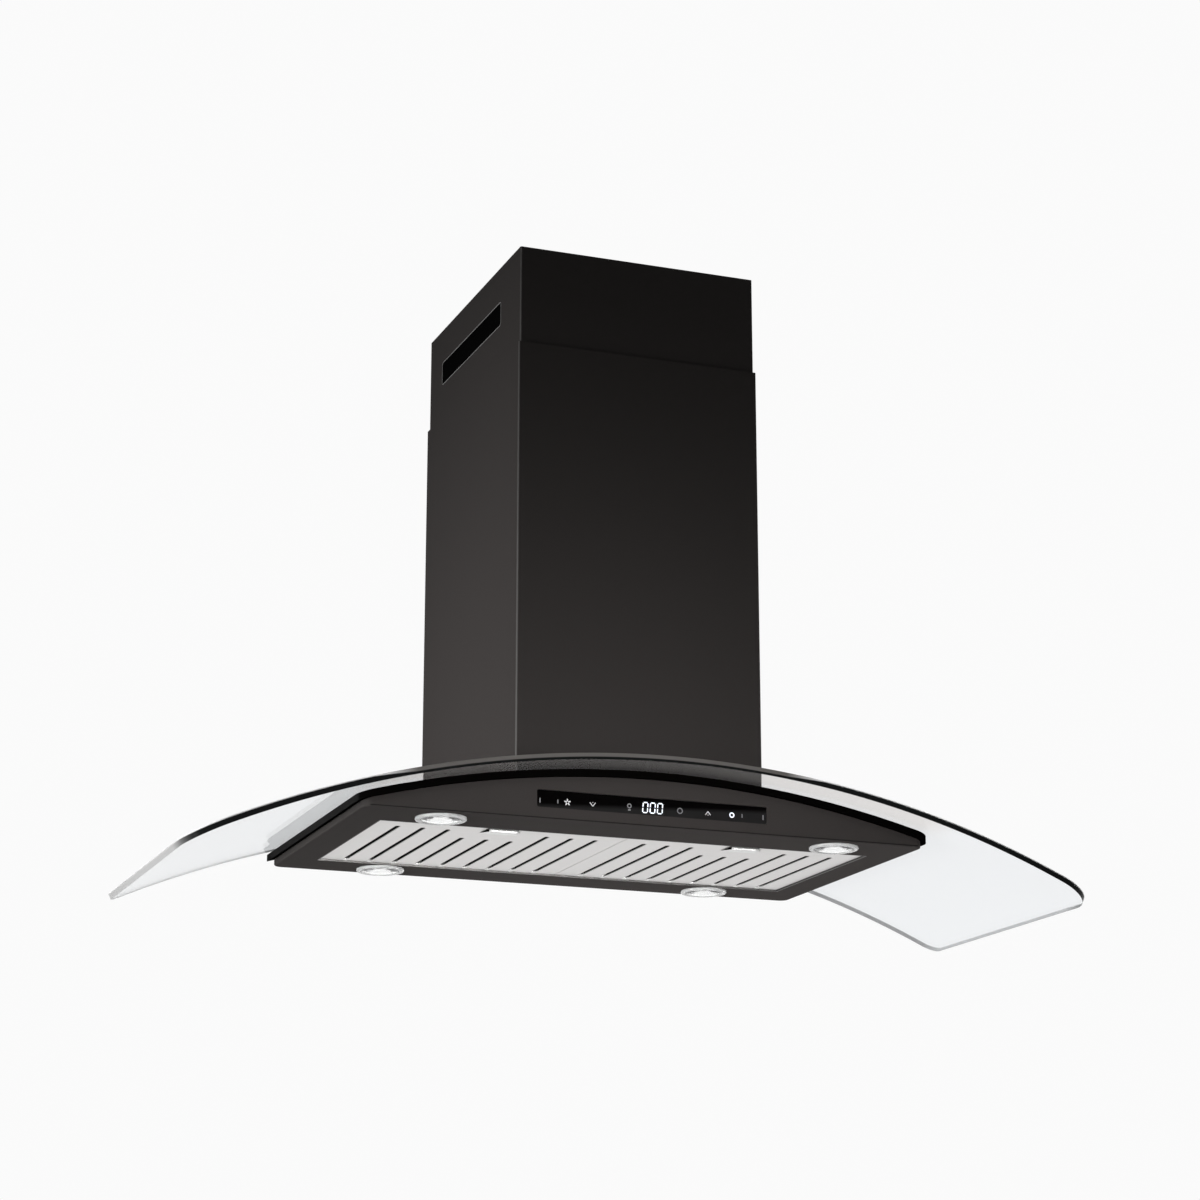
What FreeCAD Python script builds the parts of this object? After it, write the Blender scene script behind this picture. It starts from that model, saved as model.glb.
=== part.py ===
import FreeCAD, Part
import math
import os

# Curved glass range hood, wall mounted, in millimetres.
# X runs to the right, -Y to the front, +Z up. The wall is the plane y = 0.
# The pieces are laid out from the underside of the body (z = 0 while building), and each is
# lowered by hang_height when it is written, so that the origin of the finished part lies on the
# wall plane, midway between the two holes of the wall rail.

V = FreeCAD.Vector
X_AXIS = V(1, 0, 0)
Y_AXIS = V(0, 1, 0)
Z_AXIS = V(0, 0, 1)

# ---------------------------------------------------------------- driving dimensions

hang_height = 250.0           # underside of the body to the holes of the wall rail
fit_gap = 0.2                 # round pieces that drop in, and between covers that stand on others

# body: a folded steel tray, its top an arch about an axis along Y
body_width = 562.0
body_depth = 322.0
face_height = 45.0            # underside to the top of the front face, at its middle
arch_radius = 1044.0
body_sheet = 1.2
body_corner_radius = 9.0
crease_radius = 1.6
wall_hole_spacing = 420.0     # the two lower holes that lock the body to the wall
wall_hole_radius = 3.0
wall_hole_height = 12.0

# seat frame: the dark band that the glass lies on
seat_thick = 6.5
seat_proud = 5.5              # how far it stands out past the body
seat_bar = 27.0

# glass
glass_width = 900.0
glass_side_depth = 342.0
glass_wall_gap = 18.0         # wall to the back edge of the glass
glass_bow = 12.0              # how much deeper the glass is at its middle
glass_thick = 6.0
glass_front_corner = 40.0
glass_back_corner = 14.0
glass_notch_gap = 4.0         # glass to blower box
fixing_spacing = 380.0        # the four glass fixings, side to side
fixing_front = 262.0          # and their distances from the wall
fixing_back = 60.0
fixing_screw_radius = 2.5
fixing_hole_radius = 4.5
fixing_washer_radius = 8.0
fixing_washer_thick = 1.0
fixing_pad_gap = 0.05         # flat rubber pad to the curved underside of the glass
fixing_head_radius = 4.6
fixing_head_height = 3.0
fixing_nut_height = 4.0
fixing_nut_across = 8.0

# blower box: the chassis, which stands on the deck inside the chimney
blower_width = 232.0
blower_depth = 262.0
blower_wall_gap = 8.0         # wall to the back of the box
blower_top = 335.0
blower_sheet = 1.0
blower_foot = 9.0             # foot flange, outward on the deck
foot_screw_radius = 1.75
foot_screw_head = 3.2
foot_screw_end = 34.0         # first and last screw to the ends of the box
foot_screws_a_side = 3
small_head_height = 2.4
deck_sheet = 1.2
deck_inlet_lip = 18.0         # how far the deck reaches in under the box

# wall rail
rail_width = 190.0
rail_height = 34.0
rail_thick = 2.0
rail_hole_spacing = 140.0
rail_hole_radius = 3.25
hook_spacing = 90.0
hook_width = 18.0
hook_lip = 8.0
hook_side_gap = 2.0

# chimney covers
chimney_width = 252.0
chimney_depth = 290.0
chimney_sheet = 1.0
chimney_bend_radius = 1.8
chimney_flange = 12.0         # return flange at the wall
chimney_slide_gap = 1.0       # upper cover inside the lower one
lower_cover_top = 478.0
upper_cover_top = 578.0
upper_cover_length = 400.0
vent_length = 188.0
vent_height = 24.5
vent_below_top = 37.0
vent_from_front = 58.0
vent_corner_radius = 3.0
bracket_height = 24.0         # wall bracket of the upper cover
bracket_thick = 1.5           # the cover's flanges lie against it
bracket_below_top = 8.0
bracket_hole_spacing = 140.0
bracket_hole_radius = 3.0
bracket_screw_radius = 2.0
bracket_screw_head = 3.6
rest_length = 60.0
rest_leg = 20.0
rest_thick = 1.5
cover_bracket_lift = 40.0     # over the glass

# filters: two side by side, hinged on tabs at the back and latched at the front
filter_pair_width = 494.0
filter_back_margin = 52.0     # wall to the back edge of the filters
filter_front_margin = 60.0    # front of the body to their front edge
filter_recess = 1.5
filter_edge_height = 9.0
filter_sheet = 0.8
filter_gap = 0.6              # between the two filters
filter_side_gap = 0.6
filter_front_gap = 0.9
filter_back_gap = 0.3
slot_count = 9
slot_width = 4.8
slot_front_margin = 25.0
slot_back_margin = 8.0
short_slot_setback = 34.0     # the middle three slots start behind the latch
baffle_width = 15.0
baffle_height = 5.5
baffle_sheet = 0.6
baffle_lift = 1.2             # above the faceplate
back_frame_bar = 11.0
tab_width = 14.0
tab_length = 6.0
tab_thick = 1.5
tab_inset = 34.0              # tab centre to the side of its filter
tab_rise = 0.5
slot_clearance = 0.8          # around a tab that turns in its slot
rim_sheet = 1.0
rim_height = 13.0
rim_flange = 2.0

# filter latch
latch_width = 33.0
latch_depth = 8.0
latch_front_margin = 5.0      # front edge of the filter to the latch window
latch_travel = 5.0
latch_thick = 3.0
latch_gap = 0.3
latch_tongue_width = 12.0
latch_tongue_thick = 1.5
latch_tongue_short = 0.4      # tongue tip to the face of the rim
latch_flange = 3.0            # ears of the latch beyond its window
latch_pull_margin = 2.4       # finger recess to the edges of the latch
latch_pull_depth = 1.2
guide_sheet = 0.6
spring_wire_radius = 0.25
spring_coil_radius = 0.9
spring_turns = 5
spring_end_gap = 0.05

# lamps
lamp_bezel_radius = 24.0
lamp_bezel_proud = 2.5
lamp_bezel_round = 1.5
lamp_sleeve_radius = 21.4
lamp_sleeve_wall = 1.4
lamp_sleeve_height = 9.0
lamp_lens_proud = 4.5
lamp_lens_edge = 1.0
lamp_lens_thick = 2.5
lamp_module_height = 5.0
lamp_chip_radius = 7.0
lamp_chip_height = 1.0        # the chip stands on the lens side of the board
lamp_plug_length = 12.0
lamp_plug_width = 8.0
lamp_plug_height = 4.0
lamp_clip_thick = 0.8
lamp_clip_width = 2.4
lamp_fit_gap = 0.3
front_lamp_spacing = 398.0
front_lamp_from_front = 29.0
back_lamp_spacing = 352.0
back_lamp_from_wall = 25.4

# touch control in the front face
control_width = 231.0
control_height = 16.0
control_bottom = 11.6
control_recess = 1.2
control_glass_thick = 2.0
control_case_wall = 1.5
control_case_depth = 12.0
control_case_flange = 4.0
control_corner = 1.6
thin_corner = 0.3             # the least corner of a piece inside the strip
board_thick = 1.6
display_width = 26.0
display_height = 11.0
display_thick = 2.5
display_shift = 3.0           # to the right of the middle

# fan
fan_from_wall = 112.0
fan_height = 165.0
scroll_start_radius = 80.0
scroll_step = 10.0            # growth of the scroll at each quarter turn
scroll_width = 120.0
scroll_sheet = 1.0
inlet_radius = 60.0
impeller_radius = 68.0
impeller_width = 104.0
blade_length = 12.0
blade_thick = 0.8
blade_count = 32
blade_angle = 25.0            # blade to the radius, in degrees
impeller_ring = 2.0
hub_radius = 11.0
hub_length = 30.0
shaft_radius = 5.0
shaft_fit = 0.05
motor_radius = 42.0
motor_length = 46.0
motor_wall = 3.0
motor_cap = 7.0
motor_side_gap = 6.0          # motor to the scroll's side
bearing_radius = 11.0
rotor_radius = 22.0
stator_inner = 22.6
stator_slots = 12
stator_slot_width = 2.4
stator_yoke = 5.0
stator_end_gap = 2.0
rotor_end_gap = 3.0
shaft_left_end = 2.0          # beyond the motor
shaft_right_end = 12.0        # beyond the hub
impeller_nut_wall = 4.0
impeller_nut_length = 6.0
disc_thick = 2.0
blade_edge = 0.8              # blades stop short of the rings' edges
motor_ring_outer = 38.0
motor_ring_inner = 17.0
motor_arm_turns = (90, 210, 330)
motor_arm_width = 12.0
motor_arm_reach = 74.0
motor_arm_thick = 2.0
motor_screw_radius = 2.0
motor_screw_head = 3.8

# outlet
collar_radius = 75.0          # fits in or over a 150 mm duct
collar_wall = 2.0
collar_height = 50.0
collar_flange = 12.0
collar_from_wall = 150.0
flap_height = 24.0            # above the top of the box
flap_thick = 1.0
flap_gap = 0.6
flap_rod_radius = 1.5
flap_rod_fit = 0.1
flap_barrel_radius = 2.6
flap_rod_spacing = 8.0
flap_stop_radius = 3.0
flap_stop_height = 2.0
flap_stop_gap = 0.3
flap_stop_turn = 30.0         # stops to the side of the collar, in degrees
collar_screw_radius = 2.0
collar_screw_head = 3.8
collar_screw_turn = 30.0      # from the X axis, so that the screws stand outside the scroll's sides

# electrics in the blower box
junction_width = 34.0
junction_depth = 74.0
junction_height = 90.0
junction_wall = 2.0
junction_front_gap = 12.0
junction_bottom = 205.0
board_margin = 3.0            # board to the tray's walls
pillar_height = 5.0
pillar_radius = 2.0
pillar_inset = 4.0
part_inset = 8.0              # parts on the board to its corners
transformer_side = 28.0
transformer_height = 16.0
relay_width = 16.0
relay_length = 22.0
relay_height = 10.0
terminal_length = 44.0
terminal_width = 12.0
terminal_height = 11.0
capacitor_radius = 14.0
capacitor_height = 62.0
capacitor_from_wall = 70.0
capacitor_bottom = 95.0
capacitor_strap = 1.0
capacitor_strap_height = 12.0
capacitor_foot = 8.0          # foot of the clip beyond the strap
blade_spacing = 10.0          # the two flat terminals of the capacitor
blade_width = 4.0
blade_stock = 2.0
blade_height = 8.0
gland_radius = 9.0
gland_height = 14.0
gland_bore = 4.0
gland_neck_radius = 6.0
gland_from_wall = 36.0
gland_from_side = 30.0

# ---------------------------------------------------------------- derived places

half_body = body_width / 2
arch_centre_z = face_height - arch_radius
front_y = -body_depth
glass_low = seat_thick
glass_high = seat_thick + glass_thick
half_blower = blower_width / 2
blower_back = -blower_wall_gap
blower_front = blower_back - blower_depth
half_chimney = chimney_width / 2
upper_half = half_chimney - chimney_sheet - chimney_slide_gap
upper_front = -chimney_depth + chimney_sheet + chimney_slide_gap
upper_back = -bracket_thick
upper_cover_bottom = upper_cover_top - upper_cover_length
filter_width = (filter_pair_width - filter_gap) / 2
filter_back = -filter_back_margin
filter_front = front_y + filter_front_margin
filter_floor = filter_recess + filter_sheet
filter_top = filter_recess + filter_edge_height
rim_half = filter_pair_width / 2 + filter_side_gap
rim_back = filter_back + filter_back_gap
rim_front = filter_front - filter_front_gap
slot_pitch = filter_width / (slot_count + 1)
half_scroll = scroll_width / 2
motor_right = -half_scroll - motor_side_gap
motor_left = motor_right - motor_length
flap_z = blower_top + flap_height
collar_y = -collar_from_wall
huge = 2000.0                 # longer than anything here, for cutting tools

# ---------------------------------------------------------------- helpers


def box(x0, x1, y0, y1, z0, z1):
    """A block between two corners."""
    return Part.makeBox(x1 - x0, y1 - y0, z1 - z0, V(x0, y0, z0))


def rod(radius, start, axis, length):
    """A round bar from a point along an axis."""
    return Part.makeCylinder(radius, length, V(*start), axis)


def pipe(outer, inner, start, axis, length):
    """A round tube from a point along an axis."""
    return rod(outer, start, axis, length).cut(rod(inner, start, axis, length))


def fuse(shapes):
    """One solid of several that touch."""
    whole = shapes[0]
    if len(shapes) > 1:
        whole = whole.multiFuse(shapes[1:])
    return whole.removeSplitter()


def cut_all(shape, tools):
    """The shape with every tool cut away."""
    for tool in tools:
        shape = shape.cut(tool)
    return shape


def mirror_x(shape):
    """The same piece on the other side of the middle plane."""
    return shape.mirror(V(0, 0, 0), X_AXIS)


def round_upright(solid, radius, wanted=None):
    """Rounds the upright edges, or those that the test picks by their x and y."""
    edges = []
    for edge in solid.Edges:
        ends = [v.Point for v in edge.Vertexes]
        if len(ends) != 2:
            continue
        upright = abs(ends[0].x - ends[1].x) < 1e-6 and abs(ends[0].y - ends[1].y) < 1e-6
        if upright and (wanted is None or wanted(ends[0].x, ends[0].y)):
            edges.append(edge)
    return solid.makeFillet(radius, edges) if edges else solid


def arch_bar(height):
    """A long round bar whose upper side is the arch, raised by the height."""
    radius = arch_radius + height
    return rod(radius, (0, -huge / 2, arch_centre_z), Y_AXIS, huge)


def arch_layer(plan, low, high):
    """The part of an upright prism that lies between two arches."""
    return plan.common(arch_bar(high)).cut(arch_bar(low))


def on_arch(shape, x):
    """Leans a piece, built upright at x = 0, so that it stands square on the arch at x."""
    leaned = shape.copy()
    angle = math.degrees(math.asin(x / arch_radius))
    leaned.rotate(V(0, 0, arch_centre_z), Y_AXIS, angle)
    return leaned


def save(node, shape):
    """Writes one sub-part, lowered so that the origin lies at the wall rail's holes."""
    placed = shape.copy()
    placed.translate(V(0, 0, -hang_height))
    placed.exportStep("parts/" + node + ".step")
    print(node, len(placed.Solids), "solids", round(placed.Volume, 1), "mm3", placed.isValid())


def group(solids):
    """Separate solids that share a node."""
    return Part.makeCompound(solids)


# ---------------------------------------------------------------- body


def lamp_places():
    """Centres of the four lamps on the underside."""
    front = front_y + front_lamp_from_front
    back = -back_lamp_from_wall
    half_front = front_lamp_spacing / 2
    half_back = back_lamp_spacing / 2
    return [(-half_front, front), (half_front, front), (-half_back, back), (half_back, back)]


def control_window(grow, y0, y1):
    """The control strip's outline, grown on each side, as a block through the face."""
    half = control_width / 2 + grow
    low = control_bottom - grow
    block = box(-half, half, y0, y1, low, low + control_height + 2 * grow)
    corners = []
    for edge in block.Edges:
        ends = [v.Point for v in edge.Vertexes]
        if abs(ends[0].x - ends[1].x) < 1e-6 and abs(ends[0].z - ends[1].z) < 1e-6:
            corners.append(edge)
    return block.makeFillet(max(control_corner + grow, thin_corner), corners)


def canopy_body():
    """Folded tray: flat underside, flat faces, arched top edge, open on top."""
    plan = box(-half_body, half_body, front_y, 0, 0, face_height + 20)
    plan = round_upright(plan, body_corner_radius)
    outside = plan.common(arch_bar(0))
    crease = [e for e in outside.Edges if max(v.Point.z for v in e.Vertexes) < 1e-6]
    outside = outside.makeFillet(crease_radius, crease)
    s = body_sheet
    inside = box(-half_body + s, half_body - s, front_y + s, -s, s, face_height + 30)
    inside = round_upright(inside, body_corner_radius - s)
    tray = outside.cut(inside)
    opening = rim_sheet
    cutters = [box(-rim_half - opening, rim_half + opening, rim_front - opening,
                   rim_back + opening, -1, 2 * s)]
    for x, y in lamp_places():
        cutters.append(rod(lamp_sleeve_radius + lamp_fit_gap, (x, y, -1), Z_AXIS, 2 * s + 2))
    cutters.append(control_window(fit_gap, front_y - 1, front_y + 2 * s))
    for side in (-1, 1):
        place = (side * wall_hole_spacing / 2, -2 * s, wall_hole_height)
        cutters.append(rod(wall_hole_radius, place, Y_AXIS, 3 * s))
    return cut_all(tray, cutters)


def fixing_places():
    """Where the four glass fixings stand: distance from the middle, and y."""
    half = fixing_spacing / 2
    return [(x, y) for x in (-half, half) for y in (-fixing_front, -fixing_back)]


def fixing_group(make):
    """One piece of each of the four glass fixings."""
    solids = []
    for x, y in fixing_places():
        solids.append(on_arch(make(y), x))
    return group(solids)


def deck():
    """Arched plate that closes the body under the glass, with the fan's inlet in it."""
    s = body_sheet
    plan = box(-half_body + s, half_body - s, front_y + s, -s, -10, face_height + 20)
    plan = round_upright(plan, body_corner_radius - s)
    plate = arch_layer(plan, -deck_sheet, 0)
    lip = deck_inlet_lip
    inlet = box(-half_blower + lip, half_blower - lip, blower_front + lip, blower_back - lip,
                -10, face_height + 20)
    plate = plate.cut(inlet)
    for x, y in foot_screw_places():
        plate = plate.cut(on_arch(rod(foot_screw_radius, (0, y, 0), Z_AXIS, 2 * face_height), x))
    for x, y in fixing_places():
        hole = rod(fixing_screw_radius + fit_gap, (0, y, 0), Z_AXIS, 2 * face_height)
        plate = plate.cut(on_arch(hole, x))
    return plate


def seat_frame():
    """Black frame on the body's top edge, on which the glass lies."""
    out = seat_proud
    plan = box(-half_body - out, half_body + out, front_y - out, 0, -10, face_height + 30)
    plan = round_upright(plan, body_corner_radius + out, lambda x, y: y < front_y / 2)
    ring = arch_layer(plan, 0, seat_thick)
    bar = seat_bar
    window = box(-half_body - out + bar, half_body + out - bar, front_y - out + bar, -bar,
                 -10, face_height + 30)
    back_gap = half_blower + blower_foot + glass_notch_gap
    notch = box(-back_gap, back_gap, -2 * bar, 1, -10, face_height + 30)
    return cut_all(ring, [window, notch])


def glass_plan():
    """Outline of the glass seen from above, as an upright prism."""
    half = glass_width / 2
    low = -huge / 2
    back = -glass_wall_gap
    front = back - glass_side_depth
    back_left = V(-half, back, low)
    back_right = V(half, back, low)
    front_left = V(-half, front, low)
    front_right = V(half, front, low)
    edges = [
        Part.LineSegment(back_left, front_left).toShape(),
        Part.Arc(front_left, V(0, front - glass_bow, low), front_right).toShape(),
        Part.LineSegment(front_right, back_right).toShape(),
        Part.LineSegment(back_right, back_left).toShape(),
    ]
    prism = Part.Face(Part.Wire(edges)).extrude(V(0, 0, huge))
    prism = round_upright(prism, glass_front_corner, lambda x, y: y < (front + back) / 2)
    return round_upright(prism, glass_back_corner, lambda x, y: y > (front + back) / 2)


def curved_glass():
    """The glass: a sheet bent to the arch, notched at the wall for the blower box."""
    sheet = arch_layer(glass_plan(), glass_low, glass_high)
    gap = glass_notch_gap
    notch = box(-half_blower - gap, half_blower + gap, blower_front - gap, 1, -huge / 2, huge / 2)
    sheet = sheet.cut(notch)
    for x, y in fixing_places():
        hole = rod(fixing_hole_radius, (0, y, 0), Z_AXIS, 2 * face_height)
        sheet = sheet.cut(on_arch(hole, x))
    return sheet


def glass_spacer(y):
    """Rubber spacer between deck and glass, with a neck in the glass's hole."""
    foot = rod(fixing_washer_radius, (0, y, face_height), Z_AXIS, seat_thick - fixing_pad_gap)
    neck_radius = fixing_hole_radius - fit_gap
    neck = rod(neck_radius, (0, y, face_height), Z_AXIS, glass_high)
    bore = rod(fixing_screw_radius + fit_gap, (0, y, face_height - 1), Z_AXIS, glass_high + 2)
    return foot.fuse(neck).cut(bore)


def glass_washer(y):
    """Steel washer on the glass."""
    start = (0, y, face_height + glass_high)
    return pipe(fixing_washer_radius, fixing_screw_radius + fit_gap, start, Z_AXIS,
                fixing_washer_thick)


def glass_screw(y):
    """Screw from above: head on the washer, shank down through the deck and its nut."""
    seat = face_height + glass_high + fixing_washer_thick
    head = rod(fixing_head_radius, (0, y, seat), Z_AXIS, fixing_head_height)
    recess = rod(fixing_screw_radius / 2, (0, y, seat + 1), Z_AXIS, fixing_head_height)
    bottom = face_height - deck_sheet - fixing_nut_height - 1
    shank = rod(fixing_screw_radius, (0, y, bottom), Z_AXIS, seat - bottom)
    return head.cut(recess).fuse(shank)


def glass_nut(y):
    """Hexagon nut welded under the deck."""
    low = face_height - deck_sheet - fixing_nut_height
    corner = fixing_nut_across / math.sqrt(3)
    points = []
    for step in range(7):
        turn = math.radians(60 * step)
        points.append(V(corner * math.cos(turn), y + corner * math.sin(turn), low))
    # the nut ends a hair under the arched deck, whose underside curves away from it
    blank = Part.Face(Part.makePolygon(points)).extrude(V(0, 0, fixing_nut_height - 0.02))
    return blank.cut(rod(fixing_screw_radius, (0, y, low - 1), Z_AXIS, fixing_nut_height + 2))


# ---------------------------------------------------------------- blower box and wall rail


def hook_places():
    """Middle of each wall hook, left and right."""
    return (-hook_spacing / 2, hook_spacing / 2)


def blower_box():
    """Sheet steel chassis: four walls on a foot flange, open below for the air."""
    s = blower_sheet
    outer = box(-half_blower, half_blower, blower_front, blower_back, 0, blower_top - s)
    inner = box(-half_blower + s, half_blower - s, blower_front + s, blower_back - s, -1, blower_top)
    foot = box(-half_blower - blower_foot, half_blower + blower_foot, blower_front - blower_foot,
               blower_back, -10, face_height + 20)
    flange = arch_layer(foot, 0, s).cut(inner)
    shell = outer.cut(inner).cut(arch_bar(0)).fuse(flange)
    cutters = []
    for x in hook_places():
        half = hook_width / 2 + hook_side_gap
        low = hang_height - hook_lip - 2 * hook_side_gap
        cutters.append(box(x - half, x + half, blower_back - 2 * s, blower_back + s, low,
                           hang_height + rail_thick / 2))
    for x, y in foot_screw_places():
        cutters.append(on_arch(rod(foot_screw_radius, (0, y, 0), Z_AXIS, 2 * face_height), x))
    return cut_all(shell, cutters).removeSplitter()


def blower_top_plate():
    """Plate welded on the four walls, with the holes of the outlet and of the cord gland."""
    s = blower_sheet
    low = blower_top - s
    plate = box(-half_blower, half_blower, blower_front, blower_back, low, blower_top)
    cutters = [rod(collar_radius - collar_wall, (0, collar_y, low - s), Z_AXIS, 3 * s)]
    gland_x = half_blower - gland_from_side
    cutters.append(rod(gland_neck_radius, (gland_x, -gland_from_wall, low - s), Z_AXIS, 3 * s))
    for x, y in collar_screw_places():
        cutters.append(rod(collar_screw_radius, (x, y, low - s), Z_AXIS, 3 * s))
    return cut_all(plate, cutters)


def foot_screw(y):
    """Screw through the foot flange into the deck."""
    seat = face_height + blower_sheet
    head = rod(foot_screw_head, (0, y, seat), Z_AXIS, small_head_height)
    bottom = face_height - 2 * deck_sheet
    return head.fuse(rod(foot_screw_radius, (0, y, bottom), Z_AXIS, seat + 1 - bottom)).removeSplitter()


def foot_screw_places():
    """Where the foot screws stand: distance from the middle, and y."""
    x = half_blower + blower_foot / 2
    first = blower_back - foot_screw_end
    step = (blower_depth - 2 * foot_screw_end) / (foot_screws_a_side - 1)
    return [(side * x, first - step * i) for side in (-1, 1) for i in range(foot_screws_a_side)]


def foot_screws():
    """All the screws of the foot flange."""
    return group([on_arch(foot_screw(y), x) for x, y in foot_screw_places()])


def wall_rail():
    """Steel rail screwed to the wall. Its two hooks pass through the back of the blower box."""
    low = hang_height - rail_height / 2
    strip = box(-rail_width / 2, rail_width / 2, -rail_thick, 0, low, low + rail_height)
    reach = blower_back - blower_sheet - rail_thick - hook_side_gap / 4
    pieces = [strip]
    for x in hook_places():
        half = hook_width / 2
        shelf_top = hang_height + rail_thick / 2
        pieces.append(box(x - half, x + half, reach, -rail_thick / 2, shelf_top - rail_thick, shelf_top))
        pieces.append(box(x - half, x + half, reach, reach + rail_thick, shelf_top - rail_thick,
                          shelf_top + hook_lip))
    rail = fuse(pieces)
    for side in (-1, 1):
        place = (side * rail_hole_spacing / 2, -2 * rail_thick, hang_height)
        rail = rail.cut(rod(rail_hole_radius, place, Y_AXIS, 4 * rail_thick))
    return rail


def cord_gland():
    """Gland on the box's top, where the supply cord goes in."""
    x = half_blower - gland_from_side
    y = -gland_from_wall
    body = rod(gland_radius, (x, y, blower_top), Z_AXIS, gland_height)
    neck = rod(gland_neck_radius, (x, y, blower_top - 2 * blower_sheet), Z_AXIS, 3 * blower_sheet)
    bore = rod(gland_bore, (x, y, blower_top - 3 * blower_sheet), Z_AXIS, gland_height + 4 * blower_sheet)
    return body.fuse(neck).cut(bore).removeSplitter()


def junction_box():
    """Open tray on the box's right wall, for the supply terminals and the power board."""
    wall_x = half_blower - blower_sheet
    y0 = blower_front + blower_sheet + junction_front_gap
    outer = box(wall_x - junction_width, wall_x, y0, y0 + junction_depth, junction_bottom,
                junction_bottom + junction_height)
    t = junction_wall
    inner = box(wall_x - junction_width - 1, wall_x - t, y0 + t, y0 + junction_depth - t,
                junction_bottom + t, junction_bottom + junction_height - t)
    return outer.cut(inner)


def junction_lid():
    """Flat lid on the tray's open side."""
    wall_x = half_blower - blower_sheet - junction_width
    y0 = blower_front + blower_sheet + junction_front_gap
    return box(wall_x - junction_wall, wall_x, y0, y0 + junction_depth, junction_bottom,
               junction_bottom + junction_height)


def power_board():
    """Circuit board on four pillars in the tray: transformer, relay and terminals on it."""
    floor_x = half_blower - blower_sheet - junction_wall
    y0 = blower_front + blower_sheet + junction_front_gap + junction_wall + board_margin
    y1 = y0 + junction_depth - 2 * (junction_wall + board_margin)
    z0 = junction_bottom + junction_wall + board_margin
    z1 = z0 + junction_height - 2 * (junction_wall + board_margin)
    back_x = floor_x - pillar_height
    front_x = back_x - board_thick
    pieces = [box(front_x, back_x, y0, y1, z0, z1)]
    for y in (y0 + pillar_inset, y1 - pillar_inset):
        for z in (z0 + pillar_inset, z1 - pillar_inset):
            pieces.append(rod(pillar_radius, (front_x, y, z), X_AXIS, floor_x - front_x))
    low_y = y0 + part_inset
    low_z = z0 + part_inset
    pieces.append(box(front_x - transformer_height, front_x, low_y, low_y + transformer_side, low_z,
                      low_z + transformer_side))
    pieces.append(box(front_x - relay_height, front_x, y1 - part_inset - relay_width, y1 - part_inset,
                      low_z, low_z + relay_length))
    high_z = z1 - part_inset
    pieces.append(box(front_x - terminal_height, front_x, low_y, low_y + terminal_length,
                      high_z - terminal_width, high_z))
    return fuse(pieces)


def capacitor():
    """Run capacitor of the motor: a can with two terminals."""
    x = half_blower - blower_sheet - capacitor_radius - capacitor_strap
    y = -capacitor_from_wall
    can = rod(capacitor_radius, (x, y, capacitor_bottom), Z_AXIS, capacitor_height)
    top = capacitor_bottom + capacitor_height
    pieces = [can]
    for side in (-1, 1):
        middle = y + side * blade_spacing / 2
        pieces.append(box(x - blade_stock / 2, x + blade_stock / 2, middle - blade_width / 2,
                          middle + blade_width / 2, top, top + blade_height))
    return fuse(pieces)


def capacitor_clip():
    """Strap round the capacitor, fixed to the box's right wall."""
    wall_x = half_blower - blower_sheet
    x = wall_x - capacitor_radius - capacitor_strap
    y = -capacitor_from_wall
    z = capacitor_bottom + capacitor_height / 2
    strap = rod(capacitor_radius + capacitor_strap, (x, y, z), Z_AXIS, capacitor_strap_height)
    reach = capacitor_radius + capacitor_foot
    foot = box(wall_x - capacitor_strap, wall_x, y - reach, y + reach, z, z + capacitor_strap_height)
    bore = rod(capacitor_radius, (x, y, z - 1), Z_AXIS, capacitor_strap_height + 2)
    return strap.fuse(foot).cut(bore).removeSplitter()


# ---------------------------------------------------------------- fan


def scroll_solid(shrink, half_width, rise):
    """Filled scroll: three quarter arcs that grow from the tongue, then a straight outlet."""
    y = -fan_from_wall
    z = fan_height
    step = scroll_step
    x = -half_width
    # quarter arcs of growing radius: each centre is shifted by one step, so that they are tangent
    slant = math.sqrt(0.5)
    r1 = scroll_start_radius - shrink
    r2 = r1 + step
    r3 = r2 + step
    c1 = (y, z)
    c2 = (y - step, z)
    c3 = (y - step, z + step)

    def at(centre, radius, dy, dz):
        return V(x, centre[0] + radius * dy, centre[1] + radius * dz)

    tongue = at(c1, r1, 0, 1)
    back = at(c1, r1, 1, 0)
    bottom = at(c2, r2, 0, -1)
    front = at(c3, r3, -1, 0)
    front_top = V(x, front.y, rise)
    tongue_top = V(x, tongue.y, rise)
    edges = [
        Part.Arc(tongue, at(c1, r1, slant, slant), back).toShape(),
        Part.Arc(back, at(c2, r2, slant, -slant), bottom).toShape(),
        Part.Arc(bottom, at(c3, r3, -slant, -slant), front).toShape(),
        Part.LineSegment(front, front_top).toShape(),
        Part.LineSegment(front_top, tongue_top).toShape(),
        Part.LineSegment(tongue_top, tongue).toShape(),
    ]
    return Part.Face(Part.Wire(edges)).extrude(V(2 * half_width, 0, 0))


def scroll_housing():
    """Sheet steel scroll with an inlet on each side, open at the top under the outlet."""
    s = scroll_sheet
    top = blower_top - blower_sheet
    outer = scroll_solid(0, half_scroll, top)
    inner = scroll_solid(s, half_scroll - s, top + 5)
    # the inner outline keeps the tongue's own wall
    inner = inner.cut(box(-huge / 2, huge / 2, -fan_from_wall - s, huge / 2,
                          fan_height + scroll_start_radius - s, huge / 2))
    shell = outer.cut(inner)
    inlet = rod(inlet_radius, (-half_scroll - 1, -fan_from_wall, fan_height), X_AXIS, scroll_width + 2)
    shell = shell.cut(inlet)
    for y, z in motor_screw_places():
        shell = shell.cut(rod(motor_screw_radius, (-half_scroll - 1, y, z), X_AXIS, 2 + s))
    return shell


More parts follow.
